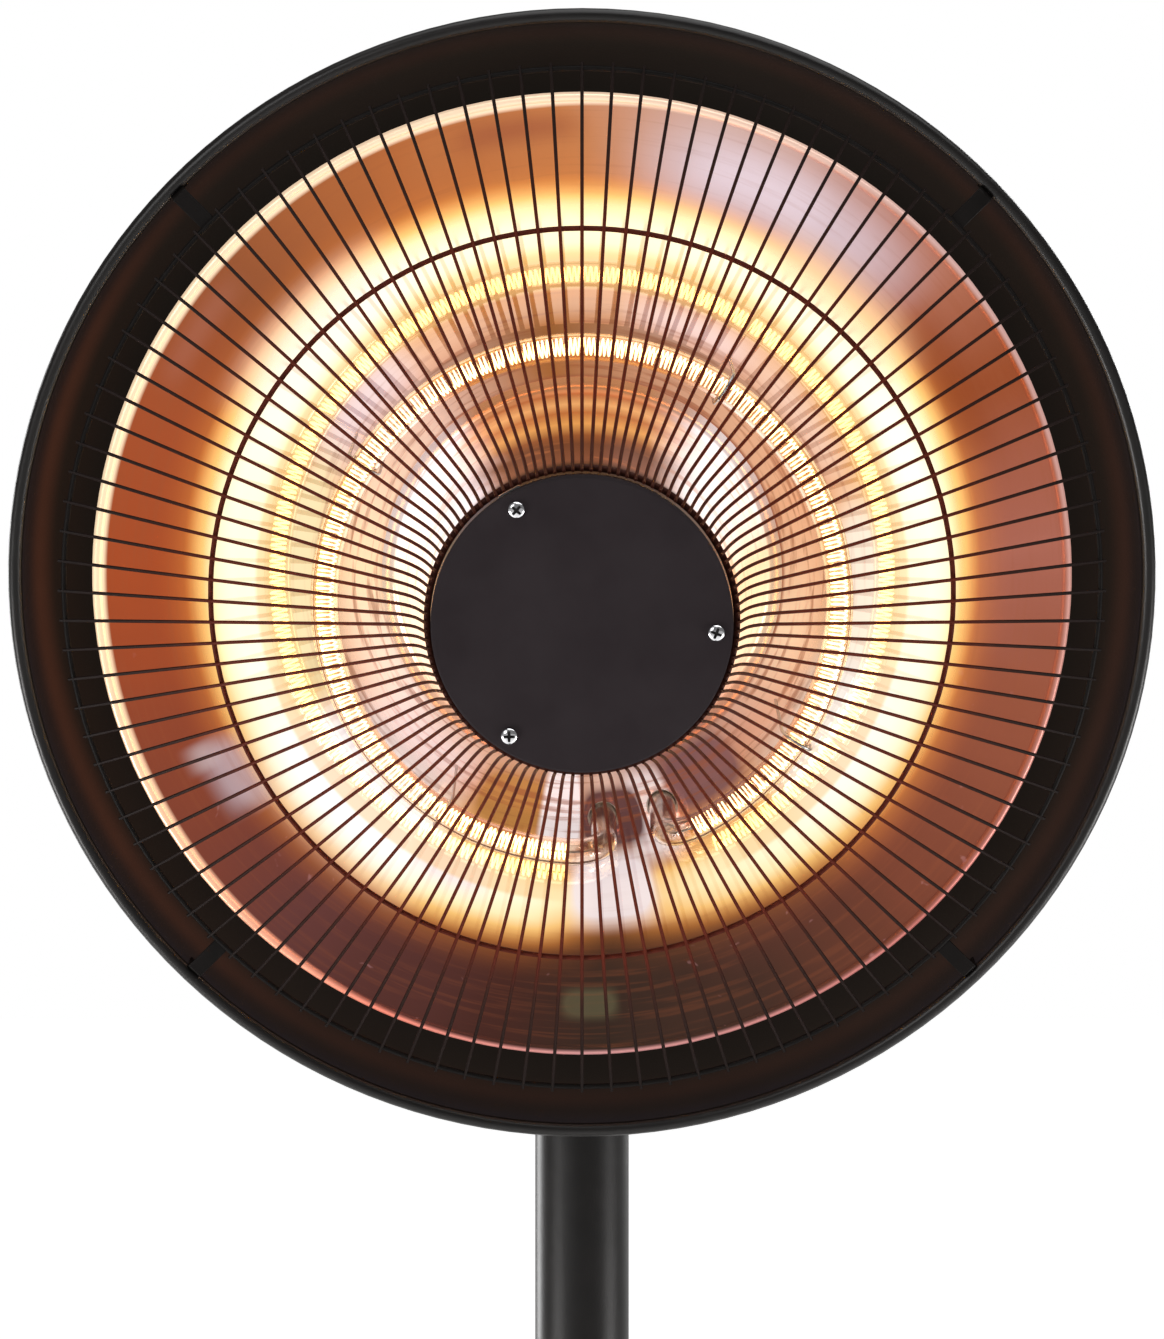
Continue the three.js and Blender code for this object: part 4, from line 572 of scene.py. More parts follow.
    # the pressed sheet leans a little more than its cone, most at the bottom
    leaning = vectorNode(tree, "ADD", vectorNode(tree, "MULTIPLY", direction, (-0.05, -0.05, 0)), (0, 0.095, 0))
    leaning = addNode(tree, "ShaderNodeVectorRotate",
                      {"Vector": leaning, "Axis": (1, 0, 0), "Angle": headTurn}).outputs[0]
    leaning = addNode(tree, "ShaderNodeVectorTransform", {0: leaning}, vector_type="VECTOR", convert_from="OBJECT",
                      convert_to="WORLD").outputs[0]
    normal = addNode(tree, "ShaderNodeNewGeometry").outputs["Normal"]
    facing = vectorNode(tree, "NORMALIZE", vectorNode(tree, "ADD", normal, leaning))
    uneven = smoothRange(tree, ringZone, 0.016, 0.028, 0.0, 0.06)
    ripple = addNode(tree, "ShaderNodeBump", {"Height": noiseAt(tree, turned, 26, 2), "Strength": uneven,
                                              "Distance": 0.002, "Normal": facing})
    tree.links.new(ripple.outputs[0], shader.inputs["Normal"])
    return look


def makeHubLook():
    # the bright cone behind the disc, its colours painted light: painted white glare to the sides, painted reflections
    # of gold bands above and mauve below
    look, tree, shader = newLook("hubReflector", 0.12, 1)
    turned, _, share, depth = headPlaces(tree)
    direction = directionOf(tree, turned)
    wander = noiseAt(tree, turned, 24, 3, 0.8)
    swung = swungShare(tree, share, wander, 0.05)
    around = roundRamp(tree, swung, [
        (-180, 255, 236, 206), (-155, 246, 210, 178), (-132, 214, 168, 140), (-114, 190, 140, 122),
        (-104, 236, 206, 190), (-86, 232, 218, 216), (-74, 120, 88, 84), (-57, 132, 100, 100), (-38, 214, 168, 140),
        (-15, 248, 222, 184), (10, 242, 210, 172), (24, 255, 242, 234), (52, 255, 252, 255), (68, 206, 160, 130),
        (90, 176, 110, 62), (118, 196, 140, 100), (132, 250, 242, 246), (160, 255, 252, 252), (180, 255, 240, 214)])
    reflectedBands = addRamp(tree, multiply(tree, mathNode(tree, "ADD", depth, 0.03), 11.5), [
        (0.0, 220, 170, 120), (0.1, 166, 96, 54), (0.22, 216, 164, 104), (0.32, 172, 104, 54), (0.45, 212, 154, 84),
        (0.58, 126, 72, 38), (0.68, 80, 44, 30), (0.85, 98, 58, 44), (1.0, 70, 42, 36)])
    above = roundRamp(tree, swung, [(44, 0), (68, 0.9), (116, 0.9), (136, 0.15), (180, 0.05)])
    paint = mixColours(tree, above, around, reflectedBands)
    streaks = streaksRound(tree, direction, 1.1, multiply(tree, depth, 90), 2.4, 4, 0.4)
    paint = mixColours(tree, smoothRange(tree, streaks, 0.54, 0.72, 0.0, 0.4), paint, tone(176, 108, 66))
    # painted shade at the cone's foot, and a darker painted shade just under the disc
    paint = mixColours(tree, smoothRange(tree, depth, -0.0235, -0.0262, 0.0, 0.5), paint, tone(140, 78, 48))
    paint = mixColours(tree, smoothRange(tree, depth, 0.044, 0.050, 0.0, 0.96), paint, tone(30, 19, 17))
    tree.links.new(mixColours(tree, 0.45, paint, grey(0)), shader.inputs["Base Color"])
    # the painted colours glow too: painted light
    tree.links.new(paint, shader.inputs["Emission Color"])
    shader.inputs["Emission Strength"].default_value = 1.0
    rough = addNode(tree, "ShaderNodeMapRange", {0: noiseAt(tree, turned, 110, 3), 3: 0.08, 4: 0.2})
    tree.links.new(rough.outputs[0], shader.inputs["Roughness"])
    return look


def makeQuartzLook():
    look, tree, shader = newLook("quartzGlass", 0.02)
    shader.inputs["Transmission Weight"].default_value = 1.0
    shader.inputs["IOR"].default_value = 1.46
    haze = noiseAt(tree, objectPlace(tree), 120, 3)
    tree.links.new(addRamp(tree, haze, [(0.35, 255, 246, 236), (0.75, 255, 236, 214)]),
                   shader.inputs["Base Color"])
    return look


def makeHotWireLook():
    look, tree, shader = newLook("glowingWire", 0.5)
    glowLevel = noiseAt(tree, objectPlace(tree), 40, 2)
    colour = addRamp(tree, glowLevel, [(0.3, 1, 0.68, 0.32, 1), (0.7, 1, 0.74, 0.38, 1)])
    tree.links.new(colour, shader.inputs["Base Color"])
    tree.links.new(colour, shader.inputs["Emission Color"])
    shader.inputs["Emission Strength"].default_value = 4.6
    return look


shadeInside = makeInnerBlack()
wireEnamel = makeWireLook()
reflectorLook = makeReflectorLook()
hubLook = makeHubLook()
quartzLook = makeQuartzLook()
hotWireLook = makeHotWireLook()
print("materials made:", len(bpy.data.materials))

# shade: a spun shell with a rolled bead, and slots through its back

shade = {"rim": 210, "bead": 2.6, "wall": 1.2, "depth": 62, "flat": 88, "opening": 38, "steps": 22,
         "vents": 8, "ventRadius": 118, "ventLength": 34, "ventWidth": 5}


def shadeLine(wallRadius, depth):
    line = []
    for i in range(shade["steps"] + 1):
        turn = math.radians(4 + 86 * i / shade["steps"])
        line.append((shade["flat"] + (wallRadius - shade["flat"]) * math.cos(turn), -depth * math.sin(turn)))
    return line


def buildShade():
    beadAt = shade["rim"] - shade["bead"]
    outer = shadeLine(beadAt + shade["wall"] / 2, shade["depth"])
    inner = shadeLine(beadAt - shade["wall"] / 2, shade["depth"] - shade["wall"])
    bead = arc((beadAt, 0), shade["bead"], -70, 250, 14)
    profile = ([(shade["opening"], -shade["depth"])] + outer[::-1] + bead + inner
               + [(shade["opening"], shade["wall"] - shade["depth"])])
    shell = turnedShape("shadeShell", profile, 144)
    half = shade["ventLength"] / 2 - shade["ventWidth"] / 2
    slot = arc((half, 0), shade["ventWidth"] / 2, -90, 90, 8) + arc((-half, 0), shade["ventWidth"] / 2, 90, 270, 8)
    tool = slabShape("ventTool", slot, 30)
    shift(tool, 0, shade["ventRadius"], -shade["depth"] - 10)
    repeatRound(spunRound(tool, 22.5 - 90), shade["vents"])
    cutWith(shell, tool)
    shell.data.materials.append(blackPaint)
    shell.data.materials.append(shadeInside)
    for face in shell.data.polygons:
        x, y, z = face.center / mm
        reach = math.hypot(x, y)
        inwards = face.normal.x * x + face.normal.y * y < 0.1 * reach or face.normal.z > 0.5
        face.material_index = 1 if inwards and z < -0.5 and face.normal.z > -0.3 else 0
    finishPiece(shell, headPlace, "head", "satin_black", None, "shade_shell")


buildShade()
print("shade done")

# reflector dish and hub cone

dish = {"lip": 180, "lipHeight": -6, "bead": 1.8, "sheet": 0.8, "hole": 62, "foot": 74.5, "footHeight": -27,
        "legHoles": (275, 289), "legHoleRadius": 6, "lampCircle": 92.6}
hub = {"foot": 70, "flange": 74.5, "top": 50.5, "topHole": 40, "low": -26.7, "high": 59.1, "sheet": 0.8,
       "round": 3.2, "nutBore": 1.8, "nut": 3.2, "screwCircle": 47, "screwAngles": (119, -3, 237)}


def buildDish():
    beadAt = dish["lip"] - dish["bead"]
    beadHeight = dish["lipHeight"] - dish["bead"] / 2
    slope = (dish["lipHeight"] - dish["footHeight"]) / (dish["lip"] - dish["foot"])

    def front(radius):
        return dish["footHeight"] + (radius - dish["foot"]) * slope

    wallOut = beadAt - dish["bead"]
    sheet = dish["sheet"]
    wall = [(wallOut - (wallOut - dish["foot"]) * i / 12) for i in range(12, -1, -1)]
    profile = ([(dish["hole"], dish["footHeight"])] + [(radius, front(radius)) for radius in wall]
               + arc((beadAt, beadHeight), dish["bead"], 180, -90, 10)
               + [(wallOut, front(wallOut) - sheet), (dish["foot"], dish["footHeight"] - sheet),
                  (dish["hole"], dish["footHeight"] - sheet)])
    pan = turnedShape("reflectorDish", profile, 160)
    for i, angle in enumerate(dish["legHoles"]):
        tool = rodShape("legTool%d" % i, dish["legHoleRadius"], -32, 0, 24)
        cutWith(pan, spunRound(shift(tool, dish["lampCircle"], 0, 0), angle))
    finishPiece(pan, headPlace, "head", "reflector", reflectorLook, "reflector_dish")


def buildHub():
    low, high, sheet = hub["low"], hub["high"], hub["sheet"]
    profile = [(hub["foot"] - sheet, low), (hub["flange"], low), (hub["flange"], low + sheet),
               (hub["foot"] + 1.2, low + sheet), (hub["foot"] + 0.1, low + sheet + 0.6), (hub["foot"] - 0.6, low + 3)]
    profile += arc((hub["top"] - 1.4, high - hub["round"]), hub["round"], 8, 82, 6)
    profile += [(hub["topHole"], high), (hub["topHole"], high - sheet), (hub["top"] - 2, high - sheet),
                (hub["top"], high - sheet - 2.4), (hub["foot"] - 1.6 - sheet, low + 3)]
    cone = turnedShape("hubCone", profile, 96)
    bore, outside = hub["nutBore"], hub["nut"]
    for i, angle in enumerate(hub["screwAngles"]):
        nut = turnedShape("clinchNut%d" % i, [(bore, high - 4.8), (outside, high - 4.8), (outside, high - 0.9),
                                              (bore, high - 0.9)], 18)
        joinPieces(cone, spunRound(shift(nut, hub["screwCircle"], 0, 0), angle))
    finishPiece(cone, headPlace, "head", "reflector", hubLook, "hub_cone")


buildDish()
buildHub()
print("reflector done")

# guard: radial wires welded to three rings, and four tabs

guard = {"wires": 108, "wire": 0.64, "outerEnd": 191.2, "weld": 187.8, "ring": 189, "ringHeight": 5, "ringWire": 1.2,
         "mid": 134, "midHeight": 21.42, "midWire": 0.95, "inner": 54.5, "innerHeight": 60, "innerWire": 1.22,
         "knee": (60.5, 49), "kneeBend": 8, "top": 65.4, "lean": -0.377, "tabWidth": 6}


def ringOf(name, radius, wire, height, steps):
    return turnedShape(name, arc((radius, height), wire, 0, 330, 11), steps)


def buildGuard():
    kneeRadius, kneeHeight = guard["knee"]
    slope = (kneeHeight - guard["ringHeight"]) / (guard["weld"] - kneeRadius)
    rise = guard["ringHeight"] + (guard["weld"] - guard["outerEnd"]) * slope
    near = guard["kneeBend"]
    across = Vector((near, 0, -near * slope))
    up = Vector((near * guard["lean"], 0, near))
    knee = Vector((kneeRadius, 0, kneeHeight))
    bend = [knee + across * (1 - t) ** 2 + up * t ** 2 for t in (0.0, 0.2, 0.4, 0.6, 0.8, 1.0)]
    top = knee + Vector((guard["lean"], 0, 1)) * (guard["top"] - kneeHeight)
    wire = wireShape("guardWires", [(guard["outerEnd"], 0, rise)] + [tuple(p) for p in bend] + [tuple(top)],
                     guard["wire"], 1)
    repeatRound(wire, guard["wires"])
    outer = ringOf("guardOuterRing", guard["ring"] + 0.1, guard["ringWire"] - 0.2, guard["ringHeight"] - 1.0, 144)
    tab = [(204.2, -9), (204.3, 1.0), (203.2, 3.0), (189, 3.0), (189, 4.0), (204, 4.0), (205.2, 1.2), (205.1, -9)]
    plate = slabShape("guardTab", tab, guard["tabWidth"])
    moveMesh(plate, turnBy("X", 90))
    shift(plate, 0, guard["tabWidth"] / 2, 0)
    softEdges(plate, 0.25, 1)
    repeatRound(spunRound(plate, 45), 4)
    wire.data.materials.append(wireEnamel)
    outer.data.materials.append(guardBlack)
    plate.data.materials.append(guardBlack)
    joinPieces(wire, outer, plate)
    finishPiece(wire, headPlace, "head", "guard_black", None, "guard_wires")
    mid = ringOf("guardMidRing", guard["mid"], guard["midWire"], guard["midHeight"], 144)
    finishPiece(mid, headPlace, "head", "guard_black", wireEnamel, "guard_mid_ring")
    inner = ringOf("guardInnerRing", guard["inner"], guard["innerWire"], guard["innerHeight"], 108)
    finishPiece(inner, headPlace, "head", "guard_black", wireEnamel, "guard_inner_ring")


buildGuard()
print("guard done")

# disc, its plate and its three cross-head screws

disc = {"radius": 53, "front": 69, "skirt": 4, "sheet": 1, "round": 1.1, "head": 3, "headRise": 1.9, "shank": 1.5,
        "shankLength": 15.5, "plate": 49, "plateHole": 36, "plateLow": 59.4, "plateSheet": 1.2, "spacer": 3.2,
        "spacerBore": 1.8, "spacerTop": 67.7, "tabReach": 53, "tabHalf": 4.5}


def buildDisc():
    radius, front, turn = disc["radius"], disc["front"], disc["round"]
    profile = [(0, front)] + arc((radius - turn, front - turn), turn, 90, 0, 8)
    profile += [(radius, front - disc["skirt"]), (radius - disc["sheet"], front - disc["skirt"]),
                (radius - disc["sheet"], front - turn - 0.4), (radius - turn - 0.4, front - disc["sheet"]),
                (0, front - disc["sheet"])]
    plate = turnedShape("centreDisc", profile, 128, False)
    finishPiece(plate, headPlace, "head", "disc_brown", discEnamel, "centre_disc")
    low, high = disc["plateLow"], disc["plateLow"] + disc["plateSheet"]
    edge, hole, reach, half = disc["plate"], disc["plateHole"], disc["tabReach"], disc["tabHalf"]
    backing = turnedShape("guardHubPlate", [(hole, low), (edge, low), (edge, high), (hole, high)], 72)
    bore, outside, over = disc["spacerBore"], disc["spacer"], disc["spacerTop"]
    for i, angle in enumerate(hub["screwAngles"]):
        spacer = turnedShape("spacer%d" % i, [(bore, high), (outside, high), (outside, over), (bore, over)], 18)
        tab = slabShape("plateTab%d" % i, [
            (edge - 4, -half), (reach - 0.6, -half), (reach, 0.6 - half), (reach, half - 0.6), (reach - 0.6, half),
            (edge - 4, half)], disc["plateSheet"])
        shift(tab, 0, 0, low)
        joinPieces(backing, spunRound(shift(spacer, hub["screwCircle"], 0, 0), angle), spunRound(tab, angle))
    finishPiece(backing, headPlace, "head", "zinc_steel", zincPlate, "guard_hub_plate")


def crossHeadScrew(name, head, rise, shank, length, slot, look):
    # a pan head with a cross recess, on a plain shank that runs down from z = 0
    crown = [(head * x, rise * (0.35 + 0.65 * y)) for x, y in arc((0, 0), 1, 0, 90, 6)]
    screw = turnedShape(name, [(0, -length), (shank * 0.8, -length), (shank, -length + 0.6), (shank, 0), (head, 0)]
                        + crown[:-1] + [(0, rise)], 28, False)
    screw.data.materials.append(look)
    tip, middle, thick = head * 0.14, head * 0.2, head * 0.18  # half sizes of one arm of the cross
    for i in range(2):
        cross = slabShape(name + "Tool%d" % i, [
            (-slot, -tip), (-middle, -thick), (middle, -thick), (slot, -tip),
            (slot, tip), (middle, thick), (-middle, thick), (-slot, tip)], rise * 2)
        # the recess faces take the painted shade
        cross.data.materials.append(crossRecessShade)
        cutWith(screw, spunRound(shift(cross, 0, 0, rise * 0.2), 90 * i + 20), looks="TRANSFER")
    pick(screw)
    bpy.ops.object.shade_smooth_by_angle(angle=math.radians(35))
    return screw


def buildDiscScrews():
    model = crossHeadScrew("discScrew1", disc["head"], disc["headRise"], disc["shank"], disc["shankLength"],
                           disc["head"] * 0.66, chromePlate)
    screws = [model] + [copyOf(model, "discScrew%d" % n) for n in (2, 3)]
    for n, (screw, angle) in enumerate(zip(screws, hub["screwAngles"])):
        driven = Matrix.Rotation(n * 0.9, 4, "Z")  # each cross stands its own way
        place = headPlace @ turnBy("Z", angle) @ moveBy(hub["screwCircle"], 0, disc["front"] + 0.05) @ driven
        finishPiece(screw, place, "head", "chrome_screw", None, "disc_screw_%d" % (n + 1))


buildDisc()
buildDiscScrews()
print("disc done")

# lamp: a ring of clear tube with two legs, the coiled wire in it, and its clips

lamp = {"circle": 92.6, "height": 27, "radius": 5, "wall": 1, "leftEnd": 275, "rightEnd": 289, "bend": 14,
        "legEnd": -38.2, "turns": 330, "coil": 3, "wire": 0.33, "leftStop": 267, "rightStop": 296,
        "clipAngles": (57, 147, 237, 327), "clipWire": 0.6, "clipBow": 6.3}


def lampPath(step):
    # up the right-hand leg, round the head and down the left-hand leg
    def onRing(degrees, height):
        turn = math.radians(degrees)
        return (lamp["circle"] * math.cos(turn), lamp["circle"] * math.sin(turn), height)

    points = []
    corner = math.degrees(lamp["bend"] / lamp["circle"])
    for end, side in ((lamp["rightEnd"] - 360, 1), (lamp["leftEnd"], -1)):
        leg = [onRing(end, lamp["legEnd"]), onRing(end, lamp["height"] - lamp["bend"] - 12)]
        for i in range(7):
            turn = math.radians(90 * i / 6)
            leg.append(onRing(end + side * corner * (1 - math.cos(turn)),
                              lamp["height"] - lamp["bend"] + lamp["bend"] * math.sin(turn)))
        points.append(leg)
    first, last = lamp["rightEnd"] - 360 + corner, lamp["leftEnd"] - corner
    count = round((last - first) / step)
    ring = [onRing(first + (last - first) * i / count, lamp["height"]) for i in range(1, count)]
    return points[0] + ring + points[1][::-1]


def buildLamp():
    path = lampPath(3)
    outer = wireShape("lampTube", path, lamp["radius"], 6)
    bore = [(x, y, z) for x, y, z in path]
    bore[0] = (bore[0][0], bore[0][1], bore[0][2] + 2)
    bore[-1] = (bore[-1][0], bore[-1][1], bore[-1][2] + 2)
    inner = wireShape("lampBore", bore, lamp["radius"] - lamp["wall"], 5)
    pick(inner)
    bpy.ops.object.mode_set(mode="EDIT")
    bpy.ops.mesh.select_all(action="SELECT")
    bpy.ops.mesh.flip_normals()
    bpy.ops.object.mode_set(mode="OBJECT")
    joinPieces(outer, inner)
    finishPiece(outer, headPlace, "head", "quartz", quartzLook, "lamp_tube")


def buildFilament():
    # one corner turned into a long coil, laid along a circle, then thickened
    first, last = lamp["rightStop"] - 360, lamp["leftStop"]
    length = math.radians(last - first) * lamp["circle"]
    coil = drawLine("lampFilament", [(0, lamp["coil"], 0), (0, lamp["coil"], 0.001)])
    bpy.ops.mesh.merge(type="CENTER")
    bpy.ops.object.mode_set(mode="OBJECT")
    applyModifier(coil, "SCREW", axis="X", angle=math.tau, screw_offset=length / lamp["turns"] * mm,
                  iterations=lamp["turns"], steps=6, render_steps=6, use_merge_vertices=False)
    clearSelection()
    bpy.ops.curve.primitive_bezier_circle_add(radius=lamp["circle"] * mm)
    circle = bpy.context.active_object
    circle.data.resolution_u = 64
    applyModifier(coil, "CURVE", object=circle, deform_axis="POS_X")
    bpy.data.objects.remove(circle)
    start = coil.data.vertices[0].co
    spunRound(coil, last - math.degrees(math.atan2(start.y, start.x)))
    shift(coil, 0, 0, lamp["height"])
    pick(coil)
    bpy.ops.object.convert(target="CURVE")
    coil = bpy.context.active_object
    coil.data.bevel_depth = lamp["wire"] * mm
    coil.data.bevel_resolution = 0
    bpy.ops.object.convert(target="MESH")
    coil = bpy.context.active_object
    coil.name = "lampFilament"
    path = lampPath(3)
    legs = []
    for name, ends in (("leadRight", path[:11]), ("leadLeft", path[-11:])):
        ends = [(x, y, z + (4 if k in (0, len(ends) - 1) and z < 0 else 0)) for k, (x, y, z) in enumerate(ends)]
        legs.append(wireShape(name, ends, lamp["wire"] * 1.3, 0))
        legs[-1].data.materials.append(zincPlate)
    coil.data.materials.append(hotWireLook)
    joinPieces(coil, *legs)
    finishPiece(coil, headPlace, "head", "filament", None, "lamp_filament")


def buildLampClips():
    bow, circle = lamp["clipBow"], lamp["circle"]
    slope = 0.199  # of the dish's cone, on which the clips' feet stand
    feet = [dish["footHeight"] + (circle + side * bow - dish["foot"]) * slope + 1.1 for side in (-1, 1)]
    line = [(circle - bow, 0, feet[0])]
    line += [(x, 0, z) for x, z in arc((circle, lamp["height"]), bow, 180, 0, 12)] + [(circle + bow, 0, feet[1])]
    model = wireShape("lampClip1", line, lamp["clipWire"], 2)
    clips = [model] + [copyOf(model, "lampClip%d" % n) for n in (2, 3, 4)]
    for n, (clip, angle) in enumerate(zip(clips, lamp["clipAngles"])):
        place = headPlace @ turnBy("Z", angle)
        finishPiece(clip, place, "head", "zinc_steel", zincPlate, "lamp_clip_%d" % (n + 1))


buildLamp()
buildFilament()
buildLampClips()
print("lamp done")

# knobs: a grip with scooped sides and a raised cap

knobs = {"lobes": 6, "scoop": 0.32}


def knobShape(name, radius, height, bore, boreDepth):
    profile = [(bore, 0), (radius - 1.5, 0), (radius, 1.5)] + arc((radius - 3, height - 3), 3, 0, 90, 5)
    profile += [(radius * 0.66, height), (radius * 0.6, height - 0.8), (radius * 0.5, height - 0.4),
                (0, height - 0.1), (0, boreDepth), (bore, boreDepth)]
    knob = turnedShape(name, profile, 96)
    scoopRadius = radius * knobs["scoop"]
    tool = rodShape(name + "Tool", scoopRadius, -5, height + 5, 32)
    shift(tool, radius + scoopRadius * 0.62, 0, 0)
    repeatRound(spunRound(tool, 180 / knobs["lobes"]), knobs["lobes"])
    cutWith(knob, tool)
    softEdges(knob, 0.7, 3)
    return knob


# rear housing, switch knob, gland and tilt tongue on the back of the head

rear = {"radius": 68, "flange": 79, "seat": -62.3, "back": -106.3, "wall": 2, "round": 6, "screwCircle": 73.5,
        "screw": {"head": 4, "rise": 2.4, "shank": 2, "length": 7.2, "slot": 2.5}, "glandHole": 6.3,
        "glandNut": 9, "shaftHole": 4, "switchUp": 46, "switchKnob": 13, "switchKnobHeight": 15,
        "tonguePlate": 28, "tongueThickness": 16, "tongueHalf": 13, "tongueScrews": 19, "tongueBore": 4.4,
        "pivot": -168.7}


def buildRear():
    radius, flange, seat, back, wall = (rear[k] for k in ("radius", "flange", "seat", "back", "wall"))
    corner = rear["round"]
    profile = [(0, back)] + arc((radius - corner, back + corner), corner, -90, 0, 8)
    profile += [(radius, seat - wall - 1.2), (radius + 0.4, seat - wall - 0.4), (radius + 1.4, seat - wall),
                (flange - 0.8, seat - wall), (flange, seat - wall + 0.8), (flange, seat),
                (radius - wall, seat), (radius - wall, back + corner), (radius - corner, back + wall), (0, back + wall)]
    box = turnedShape("rearHousing", profile, 96, False)
    grooveTool = turnedShape("grooveTool", [(58, back - 3), (60, back - 3), (60, back + 0.6), (58, back + 0.6)], 72)
    shaftTool = shift(rodShape("shaftTool", rear["shaftHole"], back - 5, back + 5, 24), 0, rear["switchUp"], 0)
    glandTool = moveMesh(rodShape("glandTool", rear["glandHole"], -8, 8, 24), turnBy("X", 90))
    shift(glandTool, 0, -radius, (seat + back) / 2)
    cutWith(box, grooveTool, shaftTool, glandTool)
    pick(box)
    bpy.ops.object.shade_smooth_by_angle(angle=math.radians(35))
    finishPiece(box, headPlace, "head", "satin_black", blackPaint, "rear_housing")

    model = crossHeadScrew("housingScrew1", look=zincPlate, **rear["screw"])
    moveMesh(model, turnBy("X", 180))
    screws = [model] + [copyOf(model, "housingScrew%d" % n) for n in (2, 3)]
    tongueScrews = [copyOf(model, "tongueScrew%d" % n) for n in (1, 2)]
    for n, screw in enumerate(screws):
        place = headPlace @ turnBy("Z", 90 + 120 * n) @ moveBy(rear["screwCircle"], 0, seat - wall - 0.2)
        finishPiece(screw, place, "head", "zinc_steel", None, "housing_screw_%d" % (n + 1))
    for n, screw in enumerate(tongueScrews):
        place = headPlace @ turnBy("Z", 180 * n) @ moveBy(rear["tongueScrews"], 0, back - 5.5)
        finishPiece(screw, place, "head", "zinc_steel", None, "tongue_screw_%d" % (n + 1))


def buildPowerKnob():
    knob = knobShape("powerKnob", rear["switchKnob"], rear["switchKnobHeight"], 3.4, 12)
    pointer = slabShape("pointer", [(-1.1, 2.4), (1.1, 2.4), (1.1, 9.6), (0, 10.6), (-1.1, 9.6)], 2)
    softEdges(shift(pointer, 0, 0, rear["switchKnobHeight"] - 0.8), 0.3)
    joinPieces(knob, pointer)
    place = headPlace @ moveBy(0, rear["switchUp"], rear["back"] - 0.4) @ turnBy("X", 180)
    finishPiece(knob, place, "switch_knob", "black_plastic", blackPlastic, "power_knob")


def buildGland():
    outside = rear["radius"] + 0.3
    nut = softEdges(shift(slabShape("cableGland", hexagon(rear["glandNut"]), 5), 0, 0, outside), 0.5)
    sleeve = turnedShape("glandSleeve", [(4, 60), (7, 60), (7, 64), (6, 64), (6, outside), (7, outside + 4.6)]
                         + [(7, outside + 11), (6.6, outside + 12), (6.6, outside + 13), (6, outside + 14)]
                         + [(5.6, outside + 17), (4, outside + 17)], 36)
    cutWith(nut, rodShape("glandBore", 5.9, outside - 2, outside + 8, 24))
    joinPieces(nut, sleeve)
    moveMesh(nut, moveBy(0, 0, (rear["seat"] + rear["back"]) / 2) @ turnBy("X", 90))
    finishPiece(nut, headPlace, "head", "black_plastic", blackPlastic, "cable_gland")


def buildTongue():
    seat = rear["back"] - 0.3
    plate = turnedShape("tiltTongue", [(0, seat - 5)] + arc((rear["tonguePlate"] - 1.5, seat - 3.5), 1.5, -90, 0, 4)
                        + [(rear["tonguePlate"], seat), (0, seat)], 72, False)
    half, pivot = rear["tongueHalf"], rear["pivot"]
    outline = [(seat - 4, -half), (seat - 4, half)] + arc((pivot, 0), half, 90, 270, 24)
    lug = slabShape("tongueLug", outline, rear["tongueThickness"])
    shift(lug, 0, 0, -rear["tongueThickness"] / 2)
    moveMesh(lug, turnBy("Y", -90))
    hole = moveMesh(rodShape("tongueHole", rear["tongueBore"], -20, 20, 32), alongX)
    cutWith(lug, shift(hole, 0, 0, pivot))
    softEdges(lug, 1.0, 3, 50)
    cutWith(plate, lug, operation="UNION")
    for n in range(2):
        tool = rodShape("tongueTool%d" % n, rear["screw"]["shank"] + 0.3, seat - 12, seat + 6, 20)
        cutWith(plate, spunRound(shift(tool, rear["tongueScrews"], 0, 0), 180 * n))
    pick(plate)
    bpy.ops.object.shade_smooth_by_angle(angle=math.radians(35))
    finishPiece(plate, headPlace, "head", "satin_black", blackPaint, "tilt_tongue")


buildRear()
buildPowerKnob()
buildGland()
buildTongue()
print("rear of the head done")

# fork, bolt, washers and tilt knob on top of the mast

fork = {"inside": 9.9, "thickness": 8, "halfWidth": 16, "deckTop": -29, "deckLow": -37.7, "deck": 19.4,
        "bolt": 4, "boltHead": 7.5, "boltHeadHeight": 6.5, "washer": 12.5, "washerBore": 4.3, "knob": 22,
        "knobHeight": 20, "plug": 17.2, "plugBore": 13.2, "plugLow": -80, "rivetBore": 2.8, "rivetHeight": -59}


